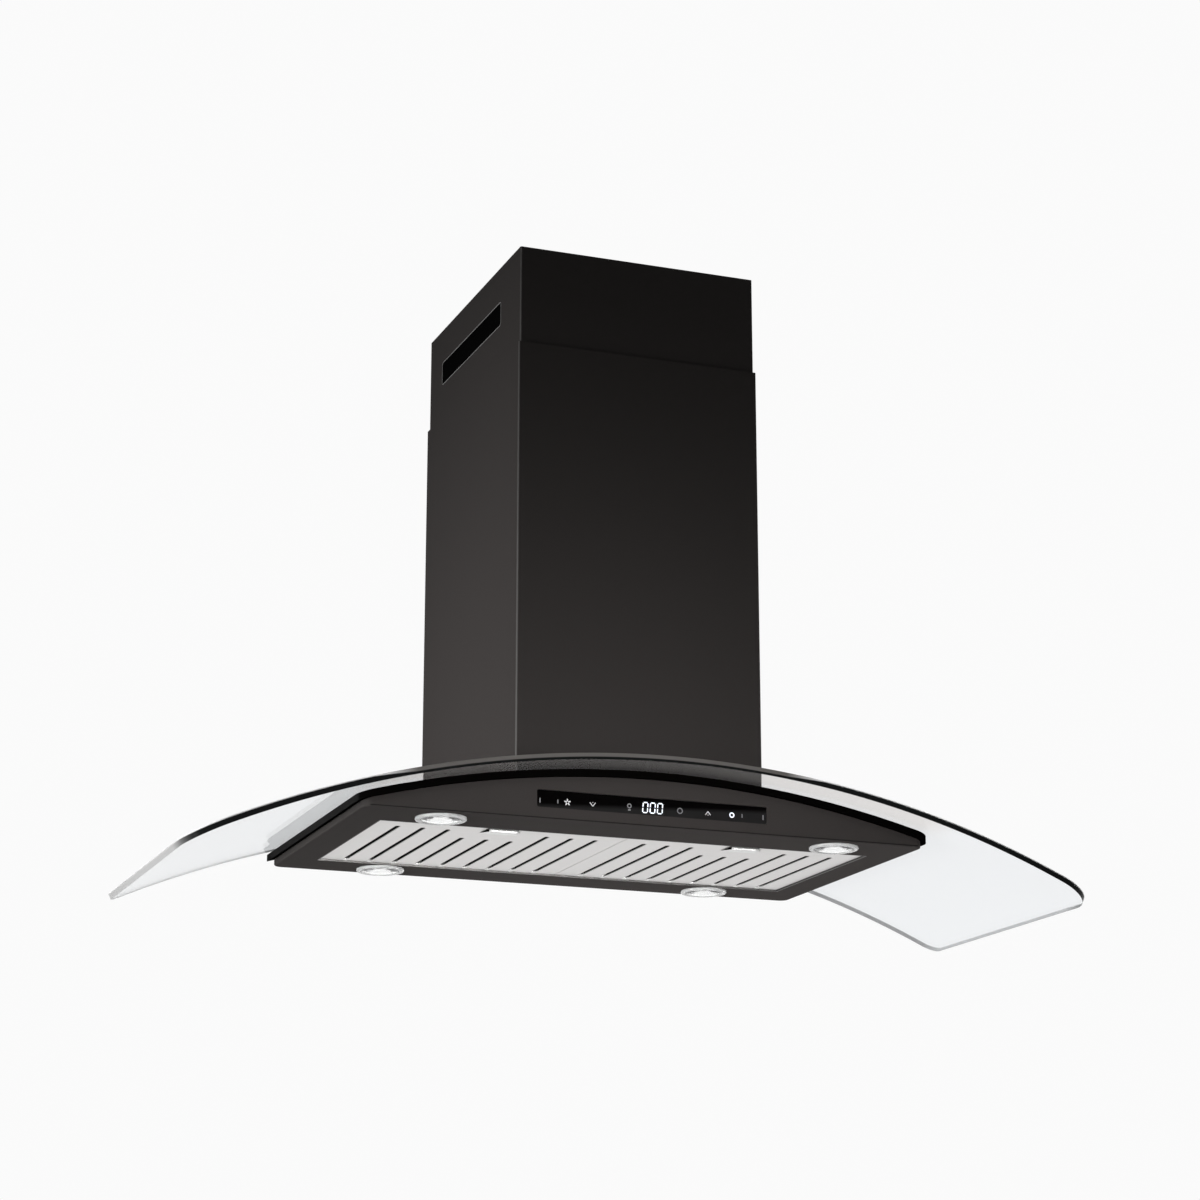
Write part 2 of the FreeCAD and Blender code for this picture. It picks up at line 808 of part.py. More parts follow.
def motor_screw_places():
    """Feet of the motor bracket on the scroll's left side."""
    places = []
    for turn in motor_arm_turns:
        a = math.radians(turn)
        reach = motor_arm_reach - motor_arm_width / 2
        places.append((-fan_from_wall + reach * math.cos(a), fan_height + reach * math.sin(a)))
    return places


def motor_bracket():
    """Three arms that carry the motor on the scroll's left side."""
    centre = V(motor_right, -fan_from_wall, fan_height)
    ring = pipe(motor_ring_outer, motor_ring_inner, (centre.x, centre.y, centre.z), X_AXIS,
                motor_arm_thick)
    pieces = [ring]
    for turn in motor_arm_turns:
        arm = box(centre.x, centre.x + motor_arm_thick, -motor_arm_width / 2, motor_arm_width / 2,
                  motor_ring_inner + motor_arm_thick, motor_arm_reach)
        foot = box(centre.x, -half_scroll, -motor_arm_width / 2, motor_arm_width / 2,
                   motor_arm_reach - motor_arm_width, motor_arm_reach)
        for piece in (arm, foot):
            piece.rotate(V(0, 0, 0), X_AXIS, turn - 90)
            piece.translate(V(0, centre.y, centre.z))
            pieces.append(piece)
    bracket = fuse(pieces)
    for y, z in motor_screw_places():
        bracket = bracket.cut(rod(motor_screw_radius, (centre.x - 1, y, z), X_AXIS, motor_side_gap + 2))
    return bracket


def motor_screws():
    """Three screws through the feet of the bracket into the scroll's side."""
    solids = []
    for y, z in motor_screw_places():
        head = rod(motor_screw_head, (motor_right - small_head_height, y, z), X_AXIS, small_head_height)
        shank = rod(motor_screw_radius, (motor_right - 1, y, z), X_AXIS, motor_side_gap + 1 + scroll_sheet)
        solids.append(head.fuse(shank).removeSplitter())
    return group(solids)


def motor_can():
    """Motor casing: a can with a bearing seat in each end."""
    y = -fan_from_wall
    z = fan_height
    can = rod(motor_radius, (motor_left, y, z), X_AXIS, motor_length)
    hollow = rod(motor_radius - motor_wall, (motor_left + motor_cap, y, z), X_AXIS,
                 motor_length - 2 * motor_cap)
    seat = rod(bearing_radius, (motor_left - 1, y, z), X_AXIS, motor_length + 2)
    return cut_all(can, [hollow, seat])


def motor_stator():
    """Wound ring inside the can, with its slots."""
    y = -fan_from_wall
    z = fan_height
    outer = motor_radius - motor_wall
    length = motor_length - 2 * (motor_cap + stator_end_gap)
    ring = pipe(outer, stator_inner, (motor_left + motor_cap + stator_end_gap, y, z), X_AXIS, length)
    for step in range(stator_slots):
        slot = box(motor_left, motor_right, -stator_slot_width / 2, stator_slot_width / 2,
                   stator_inner - 1, outer - stator_yoke)
        slot.rotate(V(0, 0, 0), X_AXIS, 360.0 * step / stator_slots)
        slot.translate(V(0, y, z))
        ring = ring.cut(slot)
    return ring


def motor_rotor():
    """Rotor pressed on the shaft."""
    length = motor_length - 2 * (motor_cap + rotor_end_gap)
    start = (motor_left + motor_cap + rotor_end_gap, -fan_from_wall, fan_height)
    return pipe(rotor_radius, shaft_radius, start, X_AXIS, length)


def motor_shaft():
    """Shaft from the motor's left end to the impeller's hub and its nut."""
    start = motor_left - shaft_left_end
    end = hub_length / 2 + shaft_right_end
    return rod(shaft_radius, (start, -fan_from_wall, fan_height), X_AXIS, end - start)


def motor_bearings():
    """The two bearings, each in its seat."""
    y = -fan_from_wall
    z = fan_height
    solids = []
    for x in (motor_left, motor_right - motor_cap):
        solids.append(pipe(bearing_radius, shaft_radius + shaft_fit, (x, y, z), X_AXIS, motor_cap))
    return group(solids)


def impeller():
    """Squirrel cage: blades between two rings, on a middle disc with a hub."""
    y = -fan_from_wall
    z = fan_height
    half = impeller_width / 2
    inner = impeller_radius - blade_length
    disc = rod(impeller_radius - 1, (-disc_thick / 2, y, z), X_AXIS, disc_thick)
    hub = rod(hub_radius, (-hub_length / 2, y, z), X_AXIS, hub_length)
    rings = [pipe(impeller_radius, inner, (x, y, z), X_AXIS, impeller_ring)
             for x in (-half, half - impeller_ring)]
    blades = []
    for step in range(blade_count):
        blade = box(-half + impeller_ring / 2, half - impeller_ring / 2, -blade_thick / 2,
                    blade_thick / 2, blade_edge - blade_length / 2, blade_length / 2 - blade_edge)
        blade.rotate(V(0, 0, 0), X_AXIS, blade_angle)
        blade.translate(V(0, 0, impeller_radius - blade_length / 2))
        blade.rotate(V(0, 0, 0), X_AXIS, 360.0 * step / blade_count)
        blade.translate(V(0, y, z))
        blades.append(blade)
    wheel = disc.multiFuse([hub] + rings + blades)
    return wheel.cut(rod(shaft_radius, (-half, y, z), X_AXIS, impeller_width))


def impeller_nut():
    """Nut on the shaft's end, against the hub."""
    start = (hub_length / 2, -fan_from_wall, fan_height)
    return pipe(shaft_radius + impeller_nut_wall, shaft_radius, start, X_AXIS, impeller_nut_length)


# ---------------------------------------------------------------- outlet


def collar_screw_places():
    """The four screws of the collar's flange."""
    reach = collar_radius + collar_flange / 2
    turn = math.radians(collar_screw_turn)
    x = reach * math.cos(turn)
    y = reach * math.sin(turn)
    return [(side * x, collar_y + end * y) for side in (-1, 1) for end in (-1, 1)]


def flap_rod_places():
    """Distance of each flap's rod from the middle: left, right."""
    return (-flap_rod_spacing / 2, flap_rod_spacing / 2)


def outlet_collar():
    """Spigot for the duct, with a flange on the box and stops for the flaps."""
    start = (0, collar_y, blower_top)
    flange = rod(collar_radius + collar_flange, start, Z_AXIS, collar_wall)
    spigot = rod(collar_radius, start, Z_AXIS, collar_height)
    stop_z = flap_z - flap_thick / 2 - flap_stop_gap - flap_stop_height
    stops = []
    for side in (-1, 1):
        for lean in (-1, 1):
            reach = collar_radius - collar_wall / 2
            turn = math.radians(flap_stop_turn * lean)
            place = (side * reach * math.cos(turn), collar_y + reach * math.sin(turn), stop_z)
            stops.append(rod(flap_stop_radius, place, Z_AXIS, flap_stop_height))
    inner = rod(collar_radius - collar_wall, (0, collar_y, blower_top - 1), Z_AXIS, collar_height + 2)
    body = flange.fuse(spigot).cut(inner)
    within = rod(collar_radius, (0, collar_y, stop_z - 1), Z_AXIS, flap_stop_height + 2)
    trimmed = [stop.common(within) for stop in stops]
    body = body.multiFuse(trimmed)
    for x in flap_rod_places():
        body = body.cut(rod(flap_rod_radius, (x, collar_y - collar_radius - 1, flap_z), Y_AXIS,
                            2 * collar_radius + 2))
    for x, y in collar_screw_places():
        body = body.cut(rod(collar_screw_radius, (x, y, blower_top - 1), Z_AXIS, collar_wall + 2))
    return body.removeSplitter()


def flap_rods():
    """Two steel rods across the collar, on which the flaps turn."""
    half = collar_radius - collar_wall / 4
    return group([rod(flap_rod_radius, (x, collar_y - half, flap_z), Y_AXIS, 2 * half)
                  for x in flap_rod_places()])


def damper_flap(side):
    """Half disc that hangs on its rod by a long barrel and lies on the stops when closed."""
    hinge_x = side * flap_rod_spacing / 2
    radius = collar_radius - collar_wall - flap_gap
    disc = rod(radius, (0, collar_y, flap_z - flap_thick / 2), Z_AXIS, flap_thick)
    if side < 0:
        keep = box(-huge / 2, hinge_x, collar_y - huge / 2, collar_y + huge / 2, 0, huge)
    else:
        keep = box(hinge_x, huge / 2, collar_y - huge / 2, collar_y + huge / 2, 0, huge)
    half_barrel = math.sqrt(radius * radius - (abs(hinge_x) + flap_barrel_radius) ** 2) - flap_gap
    barrel = rod(flap_barrel_radius, (hinge_x, collar_y - half_barrel, flap_z), Y_AXIS, 2 * half_barrel)
    ends = [box(-radius, radius, collar_y + at, collar_y + at + radius, 0, huge)
            for at in (half_barrel, -half_barrel - radius)]
    bore = rod(flap_rod_radius + flap_rod_fit, (hinge_x, collar_y - radius, flap_z), Y_AXIS, 2 * radius)
    leaf = disc.common(keep)
    strip = box(hinge_x - flap_barrel_radius - flap_gap, hinge_x + flap_barrel_radius + flap_gap,
                collar_y - radius, collar_y + radius, 0, huge)
    trims = [end.common(strip) for end in ends]
    return cut_all(leaf, trims).fuse(barrel).cut(bore).removeSplitter()


def collar_screws():
    """Four screws through the collar's flange into the box's top."""
    solids = []
    for x, y in collar_screw_places():
        top = blower_top + collar_wall
        head = rod(collar_screw_head, (x, y, top), Z_AXIS, small_head_height)
        shank = rod(collar_screw_radius, (x, y, blower_top - 2 * blower_sheet), Z_AXIS,
                    collar_wall + 2 * blower_sheet + 1)
        solids.append(head.fuse(shank).removeSplitter())
    return group(solids)


# ---------------------------------------------------------------- chimney


def u_cover(half_width, front, back, low, high):
    """Folded cover, open at the wall but for two return flanges, with rounded front bends."""
    s = chimney_sheet
    outer = box(-half_width, half_width, front, back, low, high)
    outer = round_upright(outer, chimney_bend_radius, lambda x, y: y < front / 2)
    inner = box(-half_width + s, half_width - s, front + s, back - s, low - 1, high + 1)
    inner = round_upright(inner, chimney_bend_radius - s, lambda x, y: y < front / 2)
    open_half = half_width - chimney_flange
    wall_side = box(-open_half, open_half, back - 2 * s, back + 1, low - 1, high + 1)
    return cut_all(outer, [inner, wall_side])


def lower_cover():
    """Lower chimney cover. Its foot follows the glass."""
    cover = u_cover(half_chimney, -chimney_depth, 0, 0, lower_cover_top)
    return cover.cut(arch_bar(glass_high + fit_gap))


def upper_cover():
    """Upper chimney cover, inside the lower one, with a vent slot in each side."""
    cover = u_cover(upper_half, upper_front, upper_back, upper_cover_bottom, upper_cover_top)
    y0 = upper_front + vent_from_front
    high = upper_cover_top - vent_below_top
    slot = box(-huge / 2, huge / 2, y0, y0 + vent_length, high - vent_height, high)
    corners = []
    for edge in slot.Edges:
        ends = [v.Point for v in edge.Vertexes]
        if abs(ends[0].y - ends[1].y) < 1e-6 and abs(ends[0].z - ends[1].z) < 1e-6:
            corners.append(edge)
    slot = slot.makeFillet(vent_corner_radius, corners)
    cover = cover.cut(slot)
    for x, z in bracket_screw_places():
        cover = cover.cut(rod(bracket_screw_radius, (x, upper_back - 3, z), Y_AXIS, 4))
    return cover


def bracket_screw_places():
    """Screws that join the upper cover's flanges to its wall bracket."""
    z = upper_cover_top - bracket_below_top - bracket_height / 2
    x = upper_half - chimney_flange / 2
    return [(-x, z), (x, z)]


def upper_bracket():
    """Strip on the wall that holds the top of the upper cover."""
    high = upper_cover_top - bracket_below_top
    half = upper_half - 1
    strip = box(-half, half, upper_back, 0, high - bracket_height, high)
    middle_z = high - bracket_height / 2
    for side in (-1, 1):
        place = (side * bracket_hole_spacing / 2, upper_back - 1, middle_z)
        strip = strip.cut(rod(bracket_hole_radius, place, Y_AXIS, bracket_thick + 2))
    for x, z in bracket_screw_places():
        strip = strip.cut(rod(bracket_screw_radius, (x, upper_back - 1, z), Y_AXIS, bracket_thick + 2))
    return strip


def bracket_screws():
    """Two screws from inside the cover, through its flanges into the bracket."""
    solids = []
    face = upper_back - chimney_sheet
    for x, z in bracket_screw_places():
        head = rod(bracket_screw_head, (x, face - small_head_height, z), Y_AXIS, small_head_height)
        shank = rod(bracket_screw_radius, (x, face - 1, z), Y_AXIS, 1 - face - fit_gap)
        solids.append(head.fuse(shank).removeSplitter())
    return group(solids)


def cover_rests():
    """Two angles on the box's sides, on which the upper cover stands when it is down."""
    t = rest_thick
    middle = (upper_front + blower_back) / 2
    y0 = middle - rest_length / 2
    high = upper_cover_bottom
    shelf = box(half_blower, upper_half + chimney_slide_gap / 2, y0, y0 + rest_length, high - t, high)
    leg = box(half_blower, half_blower + t, y0, y0 + rest_length, high - rest_leg, high)
    right = shelf.fuse(leg).removeSplitter()
    return group([mirror_x(right), right])


def cover_brackets():
    """Two angles on the box's sides. Each tab sits in front of a flange of the lower cover."""
    t = rest_thick
    low = face_height + glass_high + cover_bracket_lift
    inside = half_chimney - chimney_sheet
    back = -chimney_sheet
    high = upper_cover_bottom - rest_leg
    leg = box(half_blower, half_blower + t, blower_back - 2 * rest_leg, back, low, high)
    tab = box(half_blower, inside - chimney_slide_gap / 2, back - t, back, low, high)
    right = leg.fuse(tab).removeSplitter()
    return group([mirror_x(right), right])


# ---------------------------------------------------------------- filters


def filter_rim():
    """Light steel frame that lines the opening, with a slot for each hinge tab and tongue."""
    s = rim_sheet
    outer = box(-rim_half - s, rim_half + s, rim_front - s, rim_back + s, 0, rim_height)
    inner = box(-rim_half, rim_half, rim_front, rim_back, -1, rim_height + 1)
    flange_out = box(-rim_half - rim_flange, rim_half + rim_flange, rim_front - rim_flange,
                     rim_back + rim_flange, body_sheet, body_sheet + s)
    frame = outer.fuse(flange_out).cut(inner).common(arch_bar(-deck_sheet - fit_gap))
    pivot = filter_recess
    reach = math.hypot(tab_length, tab_rise + tab_thick)
    for x in tab_places():
        half = tab_width / 2 + slot_clearance
        frame = frame.cut(box(x - half, x + half, rim_back - 1, rim_back + tab_length + 1, pivot,
                              pivot + reach + slot_clearance))
    low = latch_floor() + (latch_thick - latch_tongue_thick) - latch_gap
    for x in filter_middles():
        half = latch_tongue_width / 2 + slot_clearance
        frame = frame.cut(box(x - half, x + half, rim_front - 2 * s, rim_front + 1, low,
                              low + latch_tongue_thick + 2 * latch_gap))
    return frame.removeSplitter()


def filter_middles():
    """Middle of each filter, left and right."""
    middle = (filter_width + filter_gap) / 2
    return (-middle, middle)


def tab_places():
    """Middle of each hinge tab."""
    places = []
    for middle in filter_middles():
        half = filter_width / 2 - tab_inset
        places += [middle - half, middle + half]
    return places


def latch_floor():
    """Height of the latch's underside, level with the faceplate's underside."""
    return filter_recess


def latch_window(grow):
    """The latch's window in the faceplate, as a block, centred on x = 0."""
    half = latch_width / 2 + grow
    front = filter_front + latch_front_margin
    back = front + latch_depth + latch_travel
    return box(-half, half, front - grow, back + grow, filter_recess - 1, filter_floor + 1)


def filter_tray(middle):
    """Slotted faceplate with its four folded edges and its two hinge tabs."""
    s = filter_sheet
    half = filter_width / 2
    outer = box(-half, half, filter_front, filter_back, filter_recess, filter_top)
    inner = box(-half + s, half - s, filter_front + s, filter_back - s, filter_floor, filter_top + 1)
    tray = outer.cut(inner)
    cutters = [latch_window(latch_gap)]
    first_short = (slot_count - 3) // 2
    for index in range(slot_count):
        x = -half + (index + 1) * slot_pitch
        front = filter_front + slot_front_margin
        if first_short <= index < first_short + 3:
            front += short_slot_setback
        slot = box(x - slot_width / 2, x + slot_width / 2, front, filter_back - slot_back_margin,
                   filter_recess - 1, filter_floor + 1)
        cutters.append(round_upright(slot, slot_width / 2 - 0.3))
    tongue_low = latch_floor() + latch_thick - latch_tongue_thick - latch_gap
    tongue_half = latch_tongue_width / 2 + latch_gap
    cutters.append(box(-tongue_half, tongue_half, filter_front - 1, filter_front + 2 * s, tongue_low,
                       tongue_low + latch_tongue_thick + 2 * latch_gap))
    tray = cut_all(tray, cutters)
    low = filter_recess + tab_rise
    tabs = []
    for side in (-1, 1):
        x = side * (half - tab_inset)
        tabs.append(box(x - tab_width / 2, x + tab_width / 2, filter_back - s, filter_back + tab_length,
                        low, low + tab_thick))
    tray = tray.multiFuse(tabs).removeSplitter()
    tray.translate(V(middle, 0, 0))
    return tray


def baffles(middle):
    """Channels over the slots. Grease runs down in them and back to the tray."""
    solids = []
    s = filter_sheet
    t = baffle_sheet
    low = filter_floor + baffle_lift
    first_short = (slot_count - 3) // 2
    for index in range(slot_count):
        x = middle - filter_width / 2 + (index + 1) * slot_pitch
        front = filter_front + s
        if first_short <= index < first_short + 3:
            front += latch_room()
        half = baffle_width / 2
        back = filter_back - s
        outer = box(x - half, x + half, front, back, low, low + baffle_height)
        inner = box(x - half + t, x + half - t, front - 1, back + 1, low - 1, low + baffle_height - t)
        solids.append(outer.cut(inner))
    return group(solids)


def latch_room():
    """Depth behind the front edge that the latch and its guide take up."""
    return latch_front_margin + latch_depth + latch_travel + latch_depth


def filter_back_frame(middle):
    """Flat frame on the baffles, inside the top of the folded edges."""
    s = filter_sheet
    half = filter_width / 2 - s
    low = filter_floor + baffle_lift + baffle_height
    front = filter_front + s
    back = filter_back - s
    outer = box(middle - half, middle + half, front, back, low, low + s)
    bar = back_frame_bar
    inner = box(middle - half + bar, middle + half - bar, front + latch_room() + bar, back - bar,
                low - 1, low + s + 1)
    return outer.cut(inner)


def latch_slider(middle):
    """Finger plate of the latch, with a pull recess and a tongue out of the filter's front."""
    half = latch_width / 2 - latch_gap
    front = filter_front + latch_front_margin + latch_gap
    low = latch_floor()
    plate = box(-half, half, front, front + latch_depth, low, low + latch_thick)
    margin = latch_pull_margin
    recess = box(-half + margin, half - margin, front + margin, front + latch_depth - margin, low - 1,
                 low + latch_pull_depth)
    tongue_low = low + latch_thick - latch_tongue_thick
    tip = rim_front + latch_tongue_short
    tongue = box(-latch_tongue_width / 2, latch_tongue_width / 2, tip, front + 1, tongue_low,
                 tongue_low + latch_tongue_thick)
    flange = box(-half - latch_flange, half + latch_flange, front, front + latch_depth,
                 filter_floor + latch_gap, low + latch_thick)
    slider = fuse([plate, flange, tongue]).cut(recess)
    slider.translate(V(middle, 0, 0))
    return slider


def latch_guide(middle):
    """Folded cover over the latch, on the inside of the faceplate."""
    t = guide_sheet
    half = latch_width / 2 + latch_flange + latch_gap + t
    front = filter_front + filter_sheet
    back = filter_front + latch_room() - guide_sheet
    top = latch_floor() + latch_thick + latch_gap + t
    outer = box(-half, half, front, back, filter_floor, top)
    inner = box(-half + t, half - t, front - 1, back - t, filter_floor - 1, top - t)
    guide = outer.cut(inner)
    guide.translate(V(middle, 0, 0))
    return guide


def latch_spring(middle):
    """Small coil between the latch and the back of its guide."""
    start = filter_front + latch_front_margin + latch_gap + latch_depth
    end = filter_front + latch_room() - 2 * guide_sheet
    z = (filter_floor + latch_floor() + latch_thick + latch_gap) / 2
    gap = spring_end_gap
    length = end - start - 2 * gap - 2 * spring_wire_radius
    helix = Part.makeHelix(length / spring_turns, length, spring_coil_radius)
    wire = Part.Wire(helix.Edges)
    circle = Part.makeCircle(spring_wire_radius, V(spring_coil_radius, 0, 0), Y_AXIS)
    coil = wire.makePipeShell([Part.Wire(circle)], True, True)
    coil.rotate(V(0, 0, 0), X_AXIS, -90)
    coil.translate(V(middle, start + gap + spring_wire_radius, z))
    return coil


# ---------------------------------------------------------------- lamps


def lamp_group(make):
    """The same lamp piece at each of the four places."""
    return group([make(x, y) for x, y in lamp_places()])


def lamp_bezel(x, y):
    """Ring under the sheet with a sleeve up through its hole."""
    flange = rod(lamp_bezel_radius, (x, y, -lamp_bezel_proud), Z_AXIS, lamp_bezel_proud)
    rim = [e for e in flange.Edges if abs(e.BoundBox.ZMax + lamp_bezel_proud) < 1e-6]
    flange = flange.makeFillet(lamp_bezel_round, rim)
    sleeve = rod(lamp_sleeve_radius, (x, y, -1), Z_AXIS, lamp_sleeve_height + 1)
    bore = rod(lamp_sleeve_radius - lamp_sleeve_wall, (x, y, -lamp_bezel_proud - 1), Z_AXIS,
               lamp_sleeve_height + 10)
    return flange.fuse(sleeve).cut(bore).removeSplitter()


def lens_solid(x, y, radius, edge_low, crown_low, top):
    """A disc whose underside is a shallow dome."""
    drop = edge_low - crown_low
    sphere_radius = (radius * radius + drop * drop) / (2 * drop)
    ball = Part.makeSphere(sphere_radius, V(x, y, crown_low + sphere_radius))
    disc = rod(radius, (x, y, crown_low - 1), Z_AXIS, top - crown_low + 1)
    return disc.common(ball)


def lamp_lens(x, y):
    """Clear domed lens in the bezel."""
    radius = lamp_sleeve_radius - lamp_sleeve_wall
    return lens_solid(x, y, radius, -lamp_lens_edge, -lamp_lens_proud, lamp_lens_thick)


def lamp_module(x, y):
    """LED board on its holder, above the lens."""
    radius = lamp_sleeve_radius - lamp_sleeve_wall
    low = lamp_lens_thick + lamp_chip_height
    high = low + lamp_module_height
    board = rod(radius, (x, y, low), Z_AXIS, lamp_module_height)
    chip = rod(lamp_chip_radius, (x, y, lamp_lens_thick), Z_AXIS, lamp_chip_height)
    plug = box(x - lamp_plug_length / 2, x + lamp_plug_length / 2, y - lamp_plug_width / 2,
               y + lamp_plug_width / 2, high, high + lamp_plug_height)
    return fuse([board, plug, chip])


def lamp_clip(x, y):
    """Ring that holds the sleeve from above the sheet."""
    return pipe(lamp_sleeve_radius + lamp_clip_width, lamp_sleeve_radius, (x, y, body_sheet), Z_AXIS,
                lamp_clip_thick)


# ---------------------------------------------------------------- touch control


def control_glass():
    """Black glass strip, a little behind the front face."""
    y = front_y + control_recess
    return control_window(0, y, y + control_glass_thick)


def control_case():
    """Housing behind the face: a flange on its inside and a tray round the board."""
    y = front_y + body_sheet
    glass_back = front_y + control_recess + control_glass_thick
    flange = control_window(control_case_flange, y, y + control_case_wall)
    tray = control_window(control_case_wall + fit_gap, y, y + control_case_depth)
    body = flange.fuse(tray)
    room = control_window(fit_gap, y - 1, glass_back)
    ledge = control_window(-control_case_wall, y - 1, y + control_case_depth - control_case_wall)
    return cut_all(body, [room, ledge]).removeSplitter()


def control_board():
    """Touch board on the inside of the black glass."""
    y = front_y + control_recess + control_glass_thick + display_thick
    return control_window(-control_case_wall - fit_gap, y, y + board_thick)


def display_module():
    """Three-digit display between board and glass."""
    y = front_y + control_recess + control_glass_thick
    z = control_bottom + control_height / 2
    half = display_width / 2
    return box(display_shift - half, display_shift + half, y, y + display_thick, z - display_height / 2,
               z + display_height / 2)


# ---------------------------------------------------------------- the assembly


def main():
    os.makedirs("parts", exist_ok=True)
    save("canopy_body", canopy_body())
    save("deck_plate", deck())
    save("seat_frame", seat_frame())
    save("curved_glass", curved_glass())
    save("glass_spacers", fixing_group(glass_spacer))
    save("glass_washers", fixing_group(glass_washer))
    save("glass_screws", fixing_group(glass_screw))
    save("glass_nuts", fixing_group(glass_nut))

    save("blower_box", blower_box())
    save("blower_top_plate", blower_top_plate())
    save("foot_screws", foot_screws())
    save("wall_rail", wall_rail())
    save("cord_gland", cord_gland())
    save("junction_box", junction_box())
    save("junction_lid", junction_lid())
    save("power_board", power_board())
    save("capacitor", capacitor())
    save("capacitor_clip", capacitor_clip())

    save("scroll_housing", scroll_housing())
    save("motor_bracket", motor_bracket())
    save("motor_screws", motor_screws())
    save("motor_can", motor_can())
    save("motor_stator", motor_stator())
    save("motor_rotor", motor_rotor())
    save("motor_shaft", motor_shaft())
    save("motor_bearings", motor_bearings())
    save("impeller", impeller())
    save("impeller_nut", impeller_nut())

    save("outlet_collar", outlet_collar())
    save("collar_screws", collar_screws())
    save("damper_rods", flap_rods())
    save("damper_flap_left", damper_flap(-1))
    save("damper_flap_right", damper_flap(1))

    save("lower_chimney_cover", lower_cover())
    save("upper_chimney_cover", upper_cover())
    save("upper_wall_bracket", upper_bracket())
    save("upper_bracket_screws", bracket_screws())
    save("upper_cover_rests", cover_rests())
    save("lower_cover_brackets", cover_brackets())

    save("filter_rim", filter_rim())
    for name, middle in zip(("left", "right"), filter_middles()):
        save("filter_" + name + "_faceplate", filter_tray(middle))
        save("filter_" + name + "_baffles", baffles(middle))
        save("filter_" + name + "_back_frame", filter_back_frame(middle))
        save("latch_" + name + "_slider", latch_slider(middle))
        save("latch_" + name + "_guide", latch_guide(middle))
        save("latch_" + name + "_spring", latch_spring(middle))

    save("lamp_bezels", lamp_group(lamp_bezel))
    save("lamp_lenses", lamp_group(lamp_lens))
    save("lamp_led_modules", lamp_group(lamp_module))
    save("lamp_clips", lamp_group(lamp_clip))

    save("control_glass", control_glass())
    save("control_case", control_case())
    save("control_board", control_board())
    save("display_module", display_module())

    travel = lower_cover_top - upper_cover_bottom
    print("upper cover can rise", travel, "mm before it leaves the lower one")


main()
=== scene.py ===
# %% [markdown]
# # A wall-mounted range hood with a curved glass canopy
#
# The sheet metal, the glass and everything inside come from a solid model that is already the right
# size and in the right place, in metres: X to the right, -Y to the front, +Z up, with y = 0 the wall.
# This lesson dresses it. It gives each piece a finish, and adds what a solid model leaves out: the
# ground edge of the bent glass, the faceted lamp covers, the pressed details of the filters and the
# printed and lit symbols of the touch strip.

# %% Load the solid model
import math

import bmesh
import bpy
import numpy as np
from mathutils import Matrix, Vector


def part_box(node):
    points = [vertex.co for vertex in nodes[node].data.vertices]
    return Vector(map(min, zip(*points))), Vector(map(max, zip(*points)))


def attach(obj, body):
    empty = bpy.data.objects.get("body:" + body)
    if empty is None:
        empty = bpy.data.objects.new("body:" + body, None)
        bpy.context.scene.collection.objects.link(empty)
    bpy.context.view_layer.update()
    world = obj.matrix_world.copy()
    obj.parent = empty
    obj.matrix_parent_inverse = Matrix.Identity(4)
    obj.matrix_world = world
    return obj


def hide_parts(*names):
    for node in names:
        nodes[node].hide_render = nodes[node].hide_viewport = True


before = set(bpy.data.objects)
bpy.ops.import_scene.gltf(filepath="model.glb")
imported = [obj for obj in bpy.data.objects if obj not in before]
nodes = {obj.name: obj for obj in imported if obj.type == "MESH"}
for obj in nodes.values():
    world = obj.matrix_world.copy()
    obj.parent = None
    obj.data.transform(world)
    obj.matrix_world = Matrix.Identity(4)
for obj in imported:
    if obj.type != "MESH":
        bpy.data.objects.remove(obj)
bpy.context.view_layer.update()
print("pieces in the solid model:", len(nodes))

# %% [markdown]
# ## Surfaces from two parameters
#
# Each new piece is a grid of points: rows follow one parameter, columns the other. Whole arrays are
# worked out with numpy, and one helper turns them into faces. The alternative, adding points one by
# one, is slower to run and harder to read.

# %% Grids to meshes


def grid_faces(rows, columns, wrap):
    """Quads between neighbouring rows and columns. wrap joins the last column to the first."""
    r, c = np.meshgrid(np.arange(rows - 1), np.arange(columns if wrap else columns - 1), indexing="ij")
    n = (c + 1) % columns
    corners = (r * columns + c, r * columns + n, (r + 1) * columns + n, (r + 1) * columns + c)
    return np.stack(corners, axis=-1).reshape(-1, 4)


def add_object(name, data):
    """An object with this name and data, in the scene."""
    thing = bpy.data.objects.new(name, data)
    bpy.context.scene.collection.objects.link(thing)
    return thing


def make_piece(name, grids, body, material, smooth=True, merge=1e-6):
    """One object from a list of (points, wrap). Doubles at seams and poles are merged, and the
    faces of closed surfaces are turned outwards."""
    points, faces, start = [], [], 0
    for array, wrap in grids:
        rows, columns = array.shape[:2]
        points.append(array.reshape(-1, 3))
        faces.append(grid_faces(rows, columns, wrap) + start)
        start += rows * columns
    mesh = bpy.data.meshes.new(name)
    mesh.from_pydata(np.concatenate(points).tolist(), [], np.concatenate(faces).tolist())
    work = bmesh.new()
    work.from_mesh(mesh)
    bmesh.ops.remove_doubles(work, verts=work.verts, dist=merge)
    bmesh.ops.dissolve_degenerate(work, edges=work.edges, dist=merge)
    bmesh.ops.recalc_face_normals(work, faces=work.faces)
    work.to_mesh(mesh)
    work.free()
    mesh.polygons.foreach_set("use_smooth", np.full(len(mesh.polygons), smooth))
    mesh.materials.append(material)
    piece = add_object(name, mesh)
    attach(piece, body)
    print(name, len(mesh.polygons), "faces")
    return piece


def thicken(piece, thickness):
    """Gives a surface a thickness, half to each side."""
    wall = piece.modifiers.new("thickness", "SOLIDIFY")
    wall.thickness = thickness
    wall.offset = 0.0


